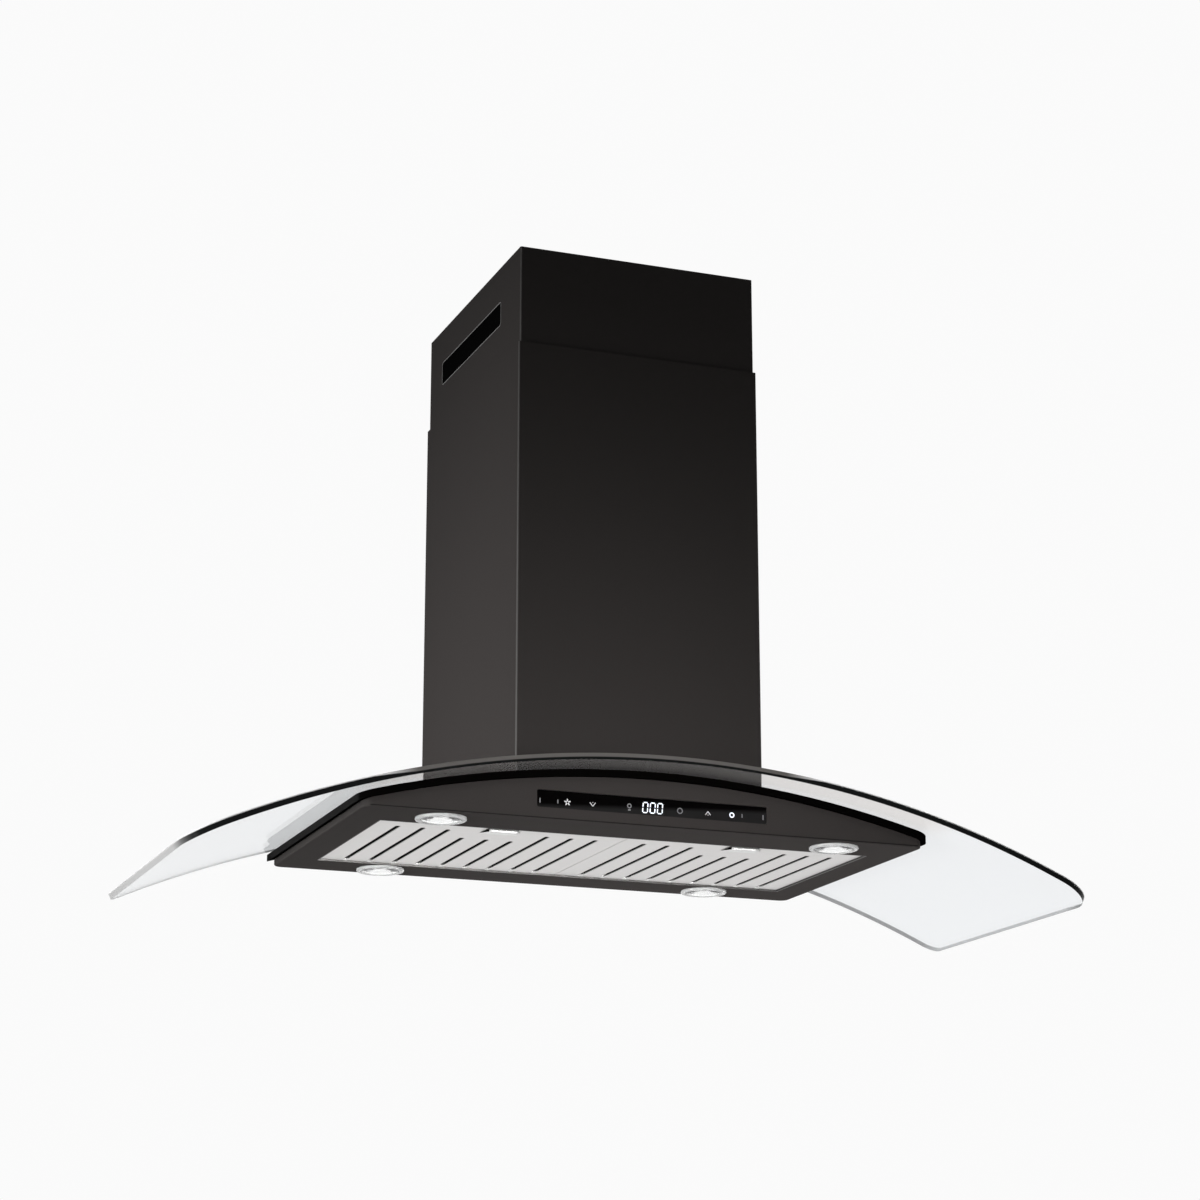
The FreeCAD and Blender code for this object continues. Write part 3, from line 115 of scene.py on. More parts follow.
# %% [markdown]
# ## Patterns that several finishes share
#
# Powder coat has a fine pebble, brushed steel has long thin scratches, zinc coating has spangles.
# Each pattern is a node group with named inputs, built once. A group puts out only masks from 0 to 1.
# The material decides what they do to its colour, its gloss or its surface.

# %% Helpers for node groups and materials


def new_group(name, inputs, outputs):
    """An empty shader group with float inputs of given start values, and float outputs."""
    tree = bpy.data.node_groups.new(name, "ShaderNodeTree")
    for label, value in inputs:
        socket = tree.interface.new_socket(label, in_out="INPUT", socket_type="NodeSocketFloat")
        socket.default_value = value
    for label in outputs:
        tree.interface.new_socket(label, in_out="OUTPUT", socket_type="NodeSocketFloat")
    return tree, tree.nodes.new("NodeGroupInput"), tree.nodes.new("NodeGroupOutput")


def noise_in(tree, vector, scale, detail=2.0, roughness=0.5):
    """A noise texture on a vector, with plain values."""
    node = tree.nodes.new("ShaderNodeTexNoise")
    node.inputs["Scale"].default_value = scale
    node.inputs["Detail"].default_value = detail
    node.inputs["Roughness"].default_value = roughness
    tree.links.new(vector, node.inputs["Vector"])
    return node


def put_out(tree, out, label, mask, place, cloud_scale, cloud_detail):
    """Ends a group: its pattern goes to one output, and a wide cloud of noise to the other."""
    cloud = noise_in(tree, place.outputs["Object"], cloud_scale, cloud_detail)
    tree.links.new(mask, out.inputs[label])
    tree.links.new(cloud.outputs["Fac"], out.inputs["Cloud"])
    print(tree.name, "has", len(tree.nodes), "nodes")


# %% [markdown]
# ## Pebble of a powder coat
#
# Powder that melts on steel keeps a fine pebble. A small noise gives the pebble, and a wide one a slow
# change of gloss over the sheet. Both could come from one texture, but then they couldn't be set apart.

# %% Pebble
pebble, pebble_in, pebble_out = new_group("Powder pebble", [("Size", 700.0)], ["Pebble", "Cloud"])
place = pebble.nodes.new("ShaderNodeTexCoord")
fine = noise_in(pebble, place.outputs["Object"], 700.0, 3.0, 0.6)
pebble.links.new(pebble_in.outputs["Size"], fine.inputs["Scale"])
put_out(pebble, pebble_out, "Pebble", fine.outputs["Fac"], place, 5.0, 3.0)

# %% [markdown]
# ## Grain of brushed metal
#
# A brush leaves scratches that are long one way and very thin the other. They are a noise that is
# squeezed hard across the brushing: the place is multiplied by another number for each direction.

# %% Grain


def along(x, y, z):
    """The three inputs of the grain: a low number along the brushing, a high one across it."""
    return [("Along X", x), ("Along Y", y), ("Along Z", z)]


grain, grain_in, grain_out = new_group("Brushed grain", along(20.0, 900.0, 900.0),
                                       ["Grain", "Cloud"])
place = grain.nodes.new("ShaderNodeTexCoord")
squeeze = grain.nodes.new("ShaderNodeCombineXYZ")
product = grain.nodes.new("ShaderNodeVectorMath")
product.operation = "MULTIPLY"
for axis in "XYZ":
    grain.links.new(grain_in.outputs["Along " + axis], squeeze.inputs[axis])
grain.links.new(place.outputs["Object"], product.inputs[0])
grain.links.new(squeeze.outputs["Vector"], product.inputs[1])
streak = noise_in(grain, product.outputs["Vector"], 1.0, 4.0, 0.65)
put_out(grain, grain_out, "Grain", streak.outputs["Fac"], place, 9.0, 2.0)

# %% [markdown]
# ## Spangle of a zinc coating
#
# Zinc sets in flat crystals, each of a slightly different brightness. A cell texture gives each cell a
# random colour, and one channel of it is enough.

# %% Spangle
spangle, spangle_in, spangle_out = new_group("Zinc spangle", [("Size", 140.0)], ["Spangle", "Cloud"])
place = spangle.nodes.new("ShaderNodeTexCoord")
cells = spangle.nodes.new("ShaderNodeTexVoronoi")
spangle.links.new(place.outputs["Object"], cells.inputs["Vector"])
spangle.links.new(spangle_in.outputs["Size"], cells.inputs["Scale"])
split = spangle.nodes.new("ShaderNodeSeparateColor")
spangle.links.new(cells.outputs["Color"], split.inputs["Color"])
put_out(spangle, spangle_out, "Spangle", split.outputs["Red"], place, 12.0, 2.0)

# %% [markdown]
# ## One recipe for most finishes
#
# Paint, metal and plastic differ in numbers more than in kind. So one recipe serves them all: the
# pattern moves the colour a little, the wide cloud moves the gloss, and a bump may follow the pattern.

# %% A material with one pattern in it


def new_material(name):
    """A fresh Principled material: the material, its node tree and its shader."""
    material = bpy.data.materials.new(name)
    material.use_nodes = True
    tree = material.node_tree
    return material, tree, tree.nodes["Principled BSDF"]


def ramp_between(tree, mask, low, high):
    """Maps a mask from 0..1 to low..high."""
    node = tree.nodes.new("ShaderNodeMapRange")
    node.inputs["To Min"].default_value = low
    node.inputs["To Max"].default_value = high
    tree.links.new(mask, node.inputs["Value"])
    return node.outputs["Result"]


def blend_colours(tree, mask, first, second):
    """A colour mix. Each end is a plain colour or an output of another node."""
    node = tree.nodes.new("ShaderNodeMix")
    node.data_type = "RGBA"
    tree.links.new(mask, node.inputs[0])
    for socket, value in ((6, first), (7, second)):
        if isinstance(value, tuple):
            node.inputs[socket].default_value = (*value, 1.0)
        else:
            tree.links.new(value, node.inputs[socket])
    return node.outputs[2]


def finish(name, colour, pattern, mask, values, dark=0.9, gloss=(0.3, 0.4), bump=0.0, depth=1e-4,
           metallic=0.0, settings=()):
    """A Principled material whose colour, roughness and surface follow a pattern group.

    colour is the brightest tone, and dark scales it where the mask is 0. gloss holds the roughness
    at cloud 0 and cloud 1. bump and depth set how deep the pattern goes."""
    material, tree, shader = new_material(name)
    shader.inputs["Metallic"].default_value = metallic
    for label, value in settings:
        shader.inputs[label].default_value = value
    node = tree.nodes.new("ShaderNodeGroup")
    node.node_tree = pattern
    for label, value in values:
        node.inputs[label].default_value = value
    darkest = tuple(part * dark for part in colour)
    tone = blend_colours(tree, node.outputs[mask], darkest, colour)
    tree.links.new(tone, shader.inputs["Base Color"])
    tree.links.new(ramp_between(tree, node.outputs["Cloud"], *gloss), shader.inputs["Roughness"])
    if bump:
        relief = tree.nodes.new("ShaderNodeBump")
        relief.inputs["Strength"].default_value = bump
        relief.inputs["Distance"].default_value = depth
        tree.links.new(node.outputs[mask], relief.inputs["Height"])
        tree.links.new(relief.outputs["Normal"], shader.inputs["Normal"])
    return material


def dress(material, *names):
    """Puts a material on pieces of the solid model."""
    for name in names:
        nodes[name].data.materials[0] = material
    print(material.name, "is on", ", ".join(names))


# %% [markdown]
# ## Tones that follow a place
#
# Some edges and faces get another tone without being pieces of their own: these tones are painted
# light and shade. A mask from the object's coordinates, 0 outside and 1 inside, picks such a place,
# and a colour mix follows the mask.

# %% Masks and mixes


def coordinates(tree):
    """x, y and z of the object's own coordinates, as three outputs."""
    place = tree.nodes.new("ShaderNodeTexCoord")
    parts = tree.nodes.new("ShaderNodeSeparateXYZ")
    tree.links.new(place.outputs["Object"], parts.inputs["Vector"])
    return parts.outputs["X"], parts.outputs["Y"], parts.outputs["Z"]


def math_node(tree, operation, *values):
    """One Math node. Each value is a number or an output of another node."""
    node = tree.nodes.new("ShaderNodeMath")
    node.operation = operation
    for socket, value in zip(node.inputs, values):
        if isinstance(value, (int, float)):
            socket.default_value = value
        else:
            tree.links.new(value, socket)
    return node.outputs["Value"]


def between(tree, value, low, high):
    """0 to 1 as a value goes from low to high."""
    node = tree.nodes.new("ShaderNodeMapRange")
    node.inputs["From Min"].default_value = low
    node.inputs["From Max"].default_value = high
    tree.links.new(value, node.inputs["Value"])
    return node.outputs["Result"]


def mix_shaders(tree, factor, first, second):
    """The first shader where the factor is 0, the second where it is 1."""
    node = tree.nodes.new("ShaderNodeMixShader")
    for output, socket in zip((factor, first, second), node.inputs):
        tree.links.new(output, socket)
    return node.outputs["Shader"]


def give_light(material, colour, strength):
    """Lets a surface shine a little by itself."""
    shader = material.node_tree.nodes["Principled BSDF"]
    shader.inputs["Emission Color"].default_value = (*colour, 1.0)
    shader.inputs["Emission Strength"].default_value = strength


def retone(material, mask, tone):
    """Blends a material's colour to another tone where a mask is 1."""
    tree = material.node_tree
    colour = tree.nodes["Principled BSDF"].inputs["Base Color"]
    tree.links.new(blend_colours(tree, mask, colour.links[0].from_socket, tone), colour)


# %% [markdown]
# ## Black coat of the body and the chimney
#
# The steel is sprayed satin black, with a faint warm cast. Paint is not a metal to the light: it has
# a dark colour under a clear reflection of its own, so Metallic stays 0. The pebble is so fine that
# it only blurs what the coat mirrors.

# %% Satin black coat


def black_powder(name):
    """The coat of all painted steel. Each cover gets one of its own, to be retoned in places."""
    return finish(name, (0.0435, 0.0392, 0.0378), pebble, "Pebble", [("Size", 900.0)],
                  dark=0.82, gloss=(0.50, 0.60), bump=0.2, depth=4e-5,
                  settings=[("Specular IOR Level", 0.0), ("Coat Weight", 0.03),
                            ("Coat Roughness", 0.2)])


dress(black_powder("black coat"), "deck_plate")

# %% [markdown]
# ## Fold at the foot of the front face
#
# The front face is folded over into the underside, and the shade in the fold shows as one thin dark
# line. That shade is painted into the coat's colour: a band 1 mm tall on that face.

# %% Coat of the body
FACE_Y = -0.322  # the front face
FOOT_Z = -0.250  # the underside
# the dark tone below is painted shade in the fold
FOLD_SHADE_TONE = (0.010, 0.0095, 0.0095)

body_coat = black_powder("black coat of the body")
tree = body_coat.node_tree
x, y, z = coordinates(tree)
on_face = between(tree, y, FACE_Y + 0.0006, FACE_Y + 0.0003)
over_foot = between(tree, z, FOOT_Z + 0.00095, FOOT_Z + 0.00125)
under_line = between(tree, z, FOOT_Z + 0.00225, FOOT_Z + 0.00195)
fold_shade_line = math_node(tree, "MULTIPLY", on_face, math_node(tree, "MULTIPLY", over_foot, under_line))
retone(body_coat, fold_shade_line, FOLD_SHADE_TONE)
dress(body_coat, "canopy_body")

# %% [markdown]
# ## Bends of the chimney covers
#
# A sharp bend catches the light as a thin pale line, and that highlight is painted into the coat's
# colour. The sum of |x| and -y is largest at the two front bends of a cover, so a mask on that sum
# picks just these edges.

# %% Coats of the covers
BEND_BEGINS = 0.0016  # below the sum at a sharp corner
BEND_IS_FULL = 0.0010
# a painted highlight: the pale tone of the front bends
BEND_HIGHLIGHT_TONE = (0.105, 0.102, 0.10)

for part, half_width, depth in (("lower", 0.126, 0.290), ("upper", 0.124, 0.288)):
    cover_coat = black_powder(f"black coat of the {part} cover")
    tree = cover_coat.node_tree
    x, y, z = coordinates(tree)
    reach = math_node(tree, "SUBTRACT", math_node(tree, "ABSOLUTE", x), y)
    corner = half_width + depth
    bend_highlight = between(tree, reach, corner - BEND_BEGINS, corner - BEND_IS_FULL)
    retone(cover_coat, bend_highlight, BEND_HIGHLIGHT_TONE)
    dress(cover_coat, f"{part}_chimney_cover")

# %% [markdown]
# ## Band under the glass
#
# The glass lies on a frame that is nearly black and without gloss; part of its depth of black is
# painted shade, as the flange under the glass lies in shadow. Its two sides take a little more light
# than its front, painted into their colour, and the mask for them is 1 past the sides of the body.

# %% Blacks of the band


def band_coat(name):
    """Deep black, with hardly a reflection."""
    # a deep black that is partly painted shade
    return finish(name, (0.0018, 0.0016, 0.0015), pebble, "Pebble", [("Size", 1400.0)],
                  dark=0.7, gloss=(0.45, 0.55), bump=0.1, depth=3e-5,
                  settings=[("Specular IOR Level", 0.0)])


BAND_SIDE = 0.2862
band_black = band_coat("band black")
band_side = band_coat("band black, lit side")
tree = band_side.node_tree
x, y, z = coordinates(tree)
past_body = between(tree, math_node(tree, "ABSOLUTE", x), BAND_SIDE - 0.0017, BAND_SIDE)
# painted light: the sides of the band are lighter where more light falls on them
retone(band_side, past_body, (0.011, 0.0105, 0.0105))
dress(band_side, "seat_frame")

# %% [markdown]
# ## Bare metals
#
# A metal has no colour under its reflection, so Metallic is 1 and the colour is that of what it
# mirrors. The filters are stainless sheet, brushed from side to side. Their baffles and back frame
# are painted near black, which is painted shade where little light reaches inside, and the rim round
# them is painted darker as shade in its recess. The hidden frame is zinc coated, and small turned
# parts are plain steel.

# %% Filters
stainless = finish("stainless", (0.80, 0.785, 0.775), grain, "Grain", along(14.0, 1100.0, 1100.0),
                   dark=0.88, gloss=(0.36, 0.48), bump=0.25, depth=3e-5, metallic=1.0)
dress(stainless, "filter_left_faceplate", "filter_right_faceplate")

# painted shade: steel darkened to near black inside the filters
shaded_inner_steel = finish("steel with painted shade", (0.018, 0.018, 0.018), grain, "Grain",
                     along(200.0, 20.0, 200.0), dark=0.6, gloss=(0.55, 0.7), metallic=1.0)
dress(shaded_inner_steel, *[f"filter_{side}_{part}" for side in ("left", "right")
                     for part in ("baffles", "back_frame")])

# %% Rim and latches
# painted shade: the rim's walls darkened in their recess
rim_steel = finish("rim steel", (0.10, 0.0975, 0.095), grain, "Grain", along(60.0, 60.0, 1400.0),
                   dark=0.8, gloss=(0.38, 0.5), metallic=1.0)
dress(rim_steel, "filter_rim")

latch_metal = finish("latch metal", (0.88, 0.88, 0.87), grain, "Grain", along(30.0, 1500.0, 1500.0),
                     dark=0.93, gloss=(0.2, 0.28), bump=0.1, depth=2e-5, metallic=1.0)
dress(latch_metal, "latch_left_slider", "latch_right_slider")
tab_metal = finish("latch tab metal", (0.80, 0.80, 0.79), grain, "Grain", along(20.0, 300.0, 300.0),
                   dark=0.94, gloss=(0.34, 0.40), metallic=1.0)

# %% Zinc coated sheet and fasteners
galvanised = finish("galvanised sheet", (0.60, 0.61, 0.62), spangle, "Spangle", [("Size", 150.0)],
                    dark=0.8, gloss=(0.38, 0.52), metallic=1.0)
dress(galvanised, "blower_box", "blower_top_plate", "wall_rail", "upper_wall_bracket",
      "upper_cover_rests", "lower_cover_brackets", "scroll_housing", "motor_bracket", "lamp_clips",
      "latch_left_guide", "latch_right_guide")

zinc_steel = finish("zinc plated fasteners", (0.66, 0.66, 0.64), grain, "Grain",
                    along(500.0, 500.0, 500.0), dark=0.85, gloss=(0.25, 0.38), metallic=1.0)
dress(zinc_steel, "glass_washers", "glass_screws", "glass_nuts", "foot_screws", "motor_screws",
      "collar_screws", "upper_bracket_screws", "capacitor_clip")

# %% Shaft, motor and winding
shaft_steel = finish("ground steel", (0.52, 0.52, 0.53), grain, "Grain", along(900.0, 60.0, 60.0),
                     dark=0.85, gloss=(0.22, 0.34), metallic=1.0)
dress(shaft_steel, "motor_shaft", "motor_bearings", "motor_rotor", "damper_rods", "impeller_nut",
      "latch_left_spring", "latch_right_spring")

motor_alloy = finish("cast motor alloy", (0.58, 0.59, 0.60), pebble, "Pebble", [("Size", 600.0)],
                     dark=0.8, gloss=(0.42, 0.58), bump=0.4, depth=8e-5, metallic=1.0)
dress(motor_alloy, "motor_can")

winding_copper = finish("varnished winding", (0.60, 0.25, 0.10), grain, "Grain",
                        along(40.0, 1400.0, 1400.0), dark=0.45, gloss=(0.3, 0.42), bump=0.6,
                        depth=2e-4, metallic=0.8)
dress(winding_copper, "motor_stator")

# %% [markdown]
# ## Plastics, rubber and the boards
#
# Moulded plastic has the grain of its mould and a soft gloss. One recipe with other values serves all.

# %% Black, fan and grey plastic
black_plastic = finish("black plastic", (0.028, 0.028, 0.030), pebble, "Pebble", [("Size", 1600.0)],
                       dark=0.8, gloss=(0.42, 0.55), bump=0.3, depth=5e-5)
dress(black_plastic, "outlet_collar", "damper_flap_left", "damper_flap_right", "cord_gland",
      "control_case")
fan_plastic = finish("fan plastic", (0.15, 0.15, 0.16), pebble, "Pebble", [("Size", 1200.0)],
                     dark=0.85, gloss=(0.38, 0.5), bump=0.2, depth=5e-5)
dress(fan_plastic, "impeller")
grey_plastic = finish("grey plastic", (0.58, 0.58, 0.56), pebble, "Pebble", [("Size", 1500.0)],
                      dark=0.93, gloss=(0.45, 0.55), bump=0.25, depth=5e-5)
dress(grey_plastic, "junction_box", "junction_lid")

# %% Boards, white plastic and rubber
board_green = finish("circuit board", (0.03, 0.17, 0.07), spangle, "Spangle", [("Size", 260.0)],
                     dark=0.7, gloss=(0.25, 0.35))
dress(board_green, "power_board", "control_board")
white_plastic = finish("white plastic", (0.80, 0.80, 0.77), pebble, "Pebble", [("Size", 1500.0)],
                       dark=0.95, gloss=(0.35, 0.45))
dress(white_plastic, "capacitor", "lamp_led_modules")
black_rubber = finish("black rubber", (0.03, 0.03, 0.03), pebble, "Pebble", [("Size", 2000.0)],
                      dark=0.8, gloss=(0.7, 0.85), bump=0.3, depth=5e-5)
dress(black_rubber, "glass_spacers")

# %% [markdown]
# ## Black glass of the touch strip
#
# The strip is black glass with a grey sheen in its lower part, wider towards the right. The sheen
# begins at a line that leans: height minus a share of x. A mirror would show the studio instead, and
# change with every view, so the sheen is a tone.

# %% Touch glass and its sheen
SHEEN_LEAN = -0.043
SHEEN_BEGINS = -0.2298
SHEEN_IS_FULL = -0.2338

touch_black = finish("black touch glass", (0.0018, 0.0016, 0.0016), pebble, "Cloud", [("Size", 300.0)],
                     dark=0.9, gloss=(0.10, 0.16), settings=[("Specular IOR Level", 0.0)])
tree = touch_black.node_tree
x, y, z = coordinates(tree)
leaned = math_node(tree, "MULTIPLY_ADD", x, SHEEN_LEAN, z)
retone(touch_black, between(tree, leaned, SHEEN_BEGINS, SHEEN_IS_FULL), (0.016, 0.0155, 0.0158))
dress(touch_black, "control_glass", "display_module")

# %% [markdown]
# ## Clear glass
#
# Light bends on its way in and out, which a transmissive shader does by itself. What it doesn't do
# well is let lamp light through to what lies behind, so shadow rays are let pass, slightly tinted.
# Light Path does that in the material itself.

# %% A clear material


def clear_material(name, tint, shadow_tint, roughness, ior=1.5, clearness=1.0):
    """Transmissive Principled, with a transparent shader for shadow rays. Below a clearness of 1
    the rest is a pale haze."""
    material, tree, shader = new_material(name)
    shader.inputs["Base Color"].default_value = (*tint, 1.0)
    shader.inputs["Roughness"].default_value = roughness
    shader.inputs["IOR"].default_value = ior
    shader.inputs["Transmission Weight"].default_value = clearness
    clear = tree.nodes.new("ShaderNodeBsdfTransparent")
    clear.inputs["Color"].default_value = (*shadow_tint, 1.0)
    path = tree.nodes.new("ShaderNodeLightPath")
    surface = mix_shaders(tree, path.outputs["Is Shadow Ray"], shader.outputs["BSDF"],
                          clear.outputs["BSDF"])
    tree.links.new(surface, tree.nodes["Material Output"].inputs["Surface"])
    return material


# %% [markdown]
# ## The bent sheet of the canopy
#
# The solid model's sheet is made of flat triangles, and glass shows every one of them where it bends
# light. So the sheet gets a surface of its own: rows run from the back edge to the bowed front edge,
# columns run across. Solidify gives it 6 mm and its own finish on the rim, and Bevel breaks the edges.

# %% Outline and arch, in metres
GLASS_HALF = 0.450
BACK_LINE = -0.018  # the wall is at 0
SIDE_FRONT = -0.360
BOW = 0.012
THICKNESS = 0.006
BODY_RADIUS = 1.044
FACE_HEIGHT = 0.045
ARCH_RADIUS = BODY_RADIUS + 0.0125  # to the upper side of the glass
ARCH_CENTRE = FACE_HEIGHT - BODY_RADIUS + FOOT_Z
FRONT_CORNER = 0.040
BACK_CORNER = 0.014
NOTCH_HALF = 0.120
NOTCH_DEPTH = 0.274
BOW_RADIUS = (GLASS_HALF ** 2 + BOW ** 2) / (2 * BOW)
BOW_CENTRE = SIDE_FRONT - BOW + BOW_RADIUS
print("radius of the bowed edge:", round(BOW_RADIUS, 3), "m")

# %% Edges and panels of the glass


def front_edge(x):
    """y of the front edge: a wide arc, and near each side a small arc that meets it smoothly."""
    centre_x = GLASS_HALF - FRONT_CORNER
    centre_y = BOW_CENTRE - math.sqrt((BOW_RADIUS - FRONT_CORNER) ** 2 - centre_x ** 2)
    touch = centre_x * BOW_RADIUS / (BOW_RADIUS - FRONT_CORNER)
    wide = BOW_CENTRE - np.sqrt(BOW_RADIUS ** 2 - x ** 2)
    small = centre_y - np.sqrt(np.maximum(FRONT_CORNER ** 2 - (np.abs(x) - centre_x) ** 2, 0))
    return np.where(np.abs(x) > touch, small, wide)


def back_edge(x):
    """y of the back edge: a straight line, and near each side a small arc."""
    past = np.maximum(np.abs(x) - (GLASS_HALF - BACK_CORNER), 0)
    return BACK_LINE - BACK_CORNER + np.sqrt(np.maximum(BACK_CORNER ** 2 - past ** 2, 0))


def glass_panel(x, back, front, rows):
    """Rows go from the back line to the front line, columns go across. Height is an arc about an axis
    along y: centre + sqrt(radius^2 - x^2)."""
    share = np.linspace(0, 1, rows)[:, None]
    y = back + (front - back) * share
    z = np.broadcast_to(ARCH_CENTRE + np.sqrt(ARCH_RADIUS ** 2 - x ** 2), y.shape)
    return np.stack([np.broadcast_to(x, y.shape), y, z], axis=-1), False


# %% Five panels that share their edges
corner_turn = np.linspace(0, math.pi / 2, 25)
wing = np.concatenate([np.linspace(NOTCH_HALF, GLASS_HALF - FRONT_CORNER, 60),
                       GLASS_HALF - FRONT_CORNER + FRONT_CORNER * np.sin(corner_turn[1:])])
middle = np.linspace(-NOTCH_HALF, NOTCH_HALF, 41)
notch_line = np.float64(-NOTCH_DEPTH)
panels = [glass_panel(middle, np.full_like(middle, notch_line), front_edge(middle), 6)]
for across in (wing, -wing[::-1]):
    panels.append(glass_panel(across, back_edge(across), np.full_like(across, notch_line), 12))
    panels.append(glass_panel(across, np.full_like(across, notch_line), front_edge(across), 6))
print("panels:", [points.shape[:2] for points, wrap in panels])

# %% [markdown]
# ## Glass of the canopy
#
# The sheet is clear with a faint blue cast. In front of the body it lies against the dark band and
# looks greyer there; that greyer look is a painted reflection of the band and the body, put into a
# deeper tint. Its index is set low: the real sheet is seen against an even white, and hardly mirrors
# anything in its wings.

# %% Canopy glass
GLASS_TINT = (0.868, 0.880, 0.893)
PAINTED_BAND_TINT = (0.79, 0.775, 0.765)
TINT_SIDES = 0.30, 0.27  # |x| where the deeper tint begins, and where it is full
TINT_FADE = 0.008

canopy_glass = clear_material("canopy glass", GLASS_TINT, (0.93, 0.95, 0.95), 0.01,
                              ior=1.045, clearness=0.95)
tree = canopy_glass.node_tree
x, y, z = coordinates(tree)
over_body = between(tree, math_node(tree, "ABSOLUTE", x), *TINT_SIDES)
before_band = between(tree, y, FACE_Y, FACE_Y - TINT_FADE)
painted_near_band = math_node(tree, "MULTIPLY", over_body, before_band)
# painted reflection: a deeper grey tint in front of the band
tint = blend_colours(tree, painted_near_band, GLASS_TINT, PAINTED_BAND_TINT)
tree.links.new(tint, tree.nodes["Principled BSDF"].inputs["Base Color"])
print(canopy_glass.name, "has", len(tree.nodes), "nodes")

# %% [markdown]
# ## Ground edge
#
# Seen from below, the ground front edge is near black in its lower part and pale above. These tones
# are painted: the dark part stands for the dark body seen in the edge, the pale part for the bright
# room mirrored in it. Over the chimney the dark part is thin and the pale part grey, and round the
# sides the whole edge is pale. One mask follows the height in the sheet, which is the distance from
# the arch's axis, and two others follow x and y.

# %% Edge finish


def axis_distance(tree, x, height):
    """Distance from the arch's axis: the length of (x, height over the axis)."""
    from_axis = tree.nodes.new("ShaderNodeCombineXYZ")
    tree.links.new(x, from_axis.inputs["X"])
    tree.links.new(math_node(tree, "SUBTRACT", height, ARCH_CENTRE), from_axis.inputs["Y"])
    distance = tree.nodes.new("ShaderNodeVectorMath")
    distance.operation = "LENGTH"
    tree.links.new(from_axis.outputs["Vector"], distance.inputs[0])
    return distance.outputs["Value"]


CHIMNEY_MIDDLE = -0.065  # where the chimney's middle shows behind the edge
CHIMNEY_HALF = 0.18, 0.22
SIDE_EDGE = -0.345, -0.300  # y where the front edge ends and the side edge begins
glass_rim = finish("ground glass edge", (0.006, 0.007, 0.007), pebble, "Pebble", [("Size", 1500.0)],
                   dark=0.8, gloss=(0.12, 0.2), settings=[("Specular IOR Level", 0.04)])
tree = glass_rim.node_tree
edge_colour = tree.nodes["Principled BSDF"].inputs["Base Color"]
painted_dark_tone = edge_colour.links[0].from_socket
x, y, z = coordinates(tree)
off_chimney = math_node(tree, "ABSOLUTE", math_node(tree, "SUBTRACT", x, CHIMNEY_MIDDLE))
aside = between(tree, off_chimney, *CHIMNEY_HALF)
behind = between(tree, y, *SIDE_EDGE)

# %% Dark and pale parts of the edge
DARK_ENDS = 0.66  # shares of the thickness, from the upper side down
PALE_IS_FULL = 0.52
ASIDE_SHIFT = 0.45

lowered = math_node(tree, "MULTIPLY_ADD", aside, -ASIDE_SHIFT * THICKNESS, axis_distance(tree, x, z))
upper = between(tree, lowered, ARCH_RADIUS - DARK_ENDS * THICKNESS,
                ARCH_RADIUS - PALE_IS_FULL * THICKNESS)
# painted reflection: the dark and pale parts of the edge
painted_pale_front = blend_colours(tree, aside, (0.125, 0.118, 0.112), (0.80, 0.80, 0.80))
painted_pale_part = blend_colours(tree, behind, painted_pale_front, (0.44, 0.44, 0.44))
painted_dark_part = blend_colours(tree, behind, painted_dark_tone, (0.32, 0.32, 0.32))
tree.links.new(blend_colours(tree, upper, painted_dark_part, painted_pale_part), edge_colour)
print(glass_rim.name, "has", len(tree.nodes), "nodes")

# %% The sheet
EDGE_BREAK = 0.0028
EDGE_STEPS = 4
SHARPER_THAN = 50  # degrees: the bow and the arch stay as they are

glass = make_piece("glass_sheet", panels, "body", canopy_glass)
glass.data.materials.append(glass_rim)
if glass.data.polygons[0].normal.z < 0:
    glass.data.flip_normals()
shell = glass.modifiers.new("thickness", "SOLIDIFY")
shell.thickness = THICKNESS
shell.offset = -1.0
shell.use_even_offset = True
shell.material_offset_rim = 1
edge = glass.modifiers.new("broken edges", "BEVEL")
edge.width = EDGE_BREAK
edge.segments = EDGE_STEPS
edge.limit_method = "ANGLE"
edge.angle_limit = math.radians(SHARPER_THAN)
edge.harden_normals = True
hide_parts("curved_glass")

# %% [markdown]
# ## Lamps
#
# Each lamp is a clear, faceted cover in a pale ring. The cover is a shallow dome cut into facets: a
# ring of points on the dome for each radius, each ring turned by half a step against the last, and
# flat shading between them.

# %% Faceted covers
LAMPS = ((-0.199, -0.293), (0.199, -0.293), (-0.176, -0.0254), (0.176, -0.0254))
lens_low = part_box("lamp_lenses")[0]
LENS_RADIUS = 0.01995
LENS_EDGE = lens_low.z + 0.0035
COVER_TOP = lens_low.z + 0.0050
LENS_STEPS = 16


def faceted_cover(x, y):
    """Rows: radii from the crown out over the dome, up the edge, and back to the middle of the top.
    Columns: turns of the circle, alternate rows shifted by half a step. The dome's height falls with
    the square of the radius."""
    share = np.array([0.0, 0.30, 0.58, 0.82, 1.0, 1.0, 0.0])
    dome = lens_low.z + (LENS_EDGE - lens_low.z) * share ** 2
    dome[-2:] = COVER_TOP
    turn = np.arange(LENS_STEPS) / LENS_STEPS * 2 * math.pi
    shift = np.array([0.0, 0.5, 0.0, 0.5, 0.0, 0.0, 0.0])[:, None] * 2 * math.pi / LENS_STEPS
    radius = (share * LENS_RADIUS)[:, None]
    points = np.stack([x + radius * np.cos(turn + shift), y + radius * np.sin(turn + shift),
                       np.repeat(dome[:, None], LENS_STEPS, axis=1)], axis=-1)
    return points, True


lamp_clear = clear_material("lamp cover", (0.97, 0.98, 0.98), (0.95, 0.95, 0.95), 0.06, ior=1.49)
covers = make_piece("lamp_covers", [faceted_cover(x, y) for x, y in LAMPS], "body",
                    lamp_clear, smooth=False)
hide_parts("lamp_lenses")

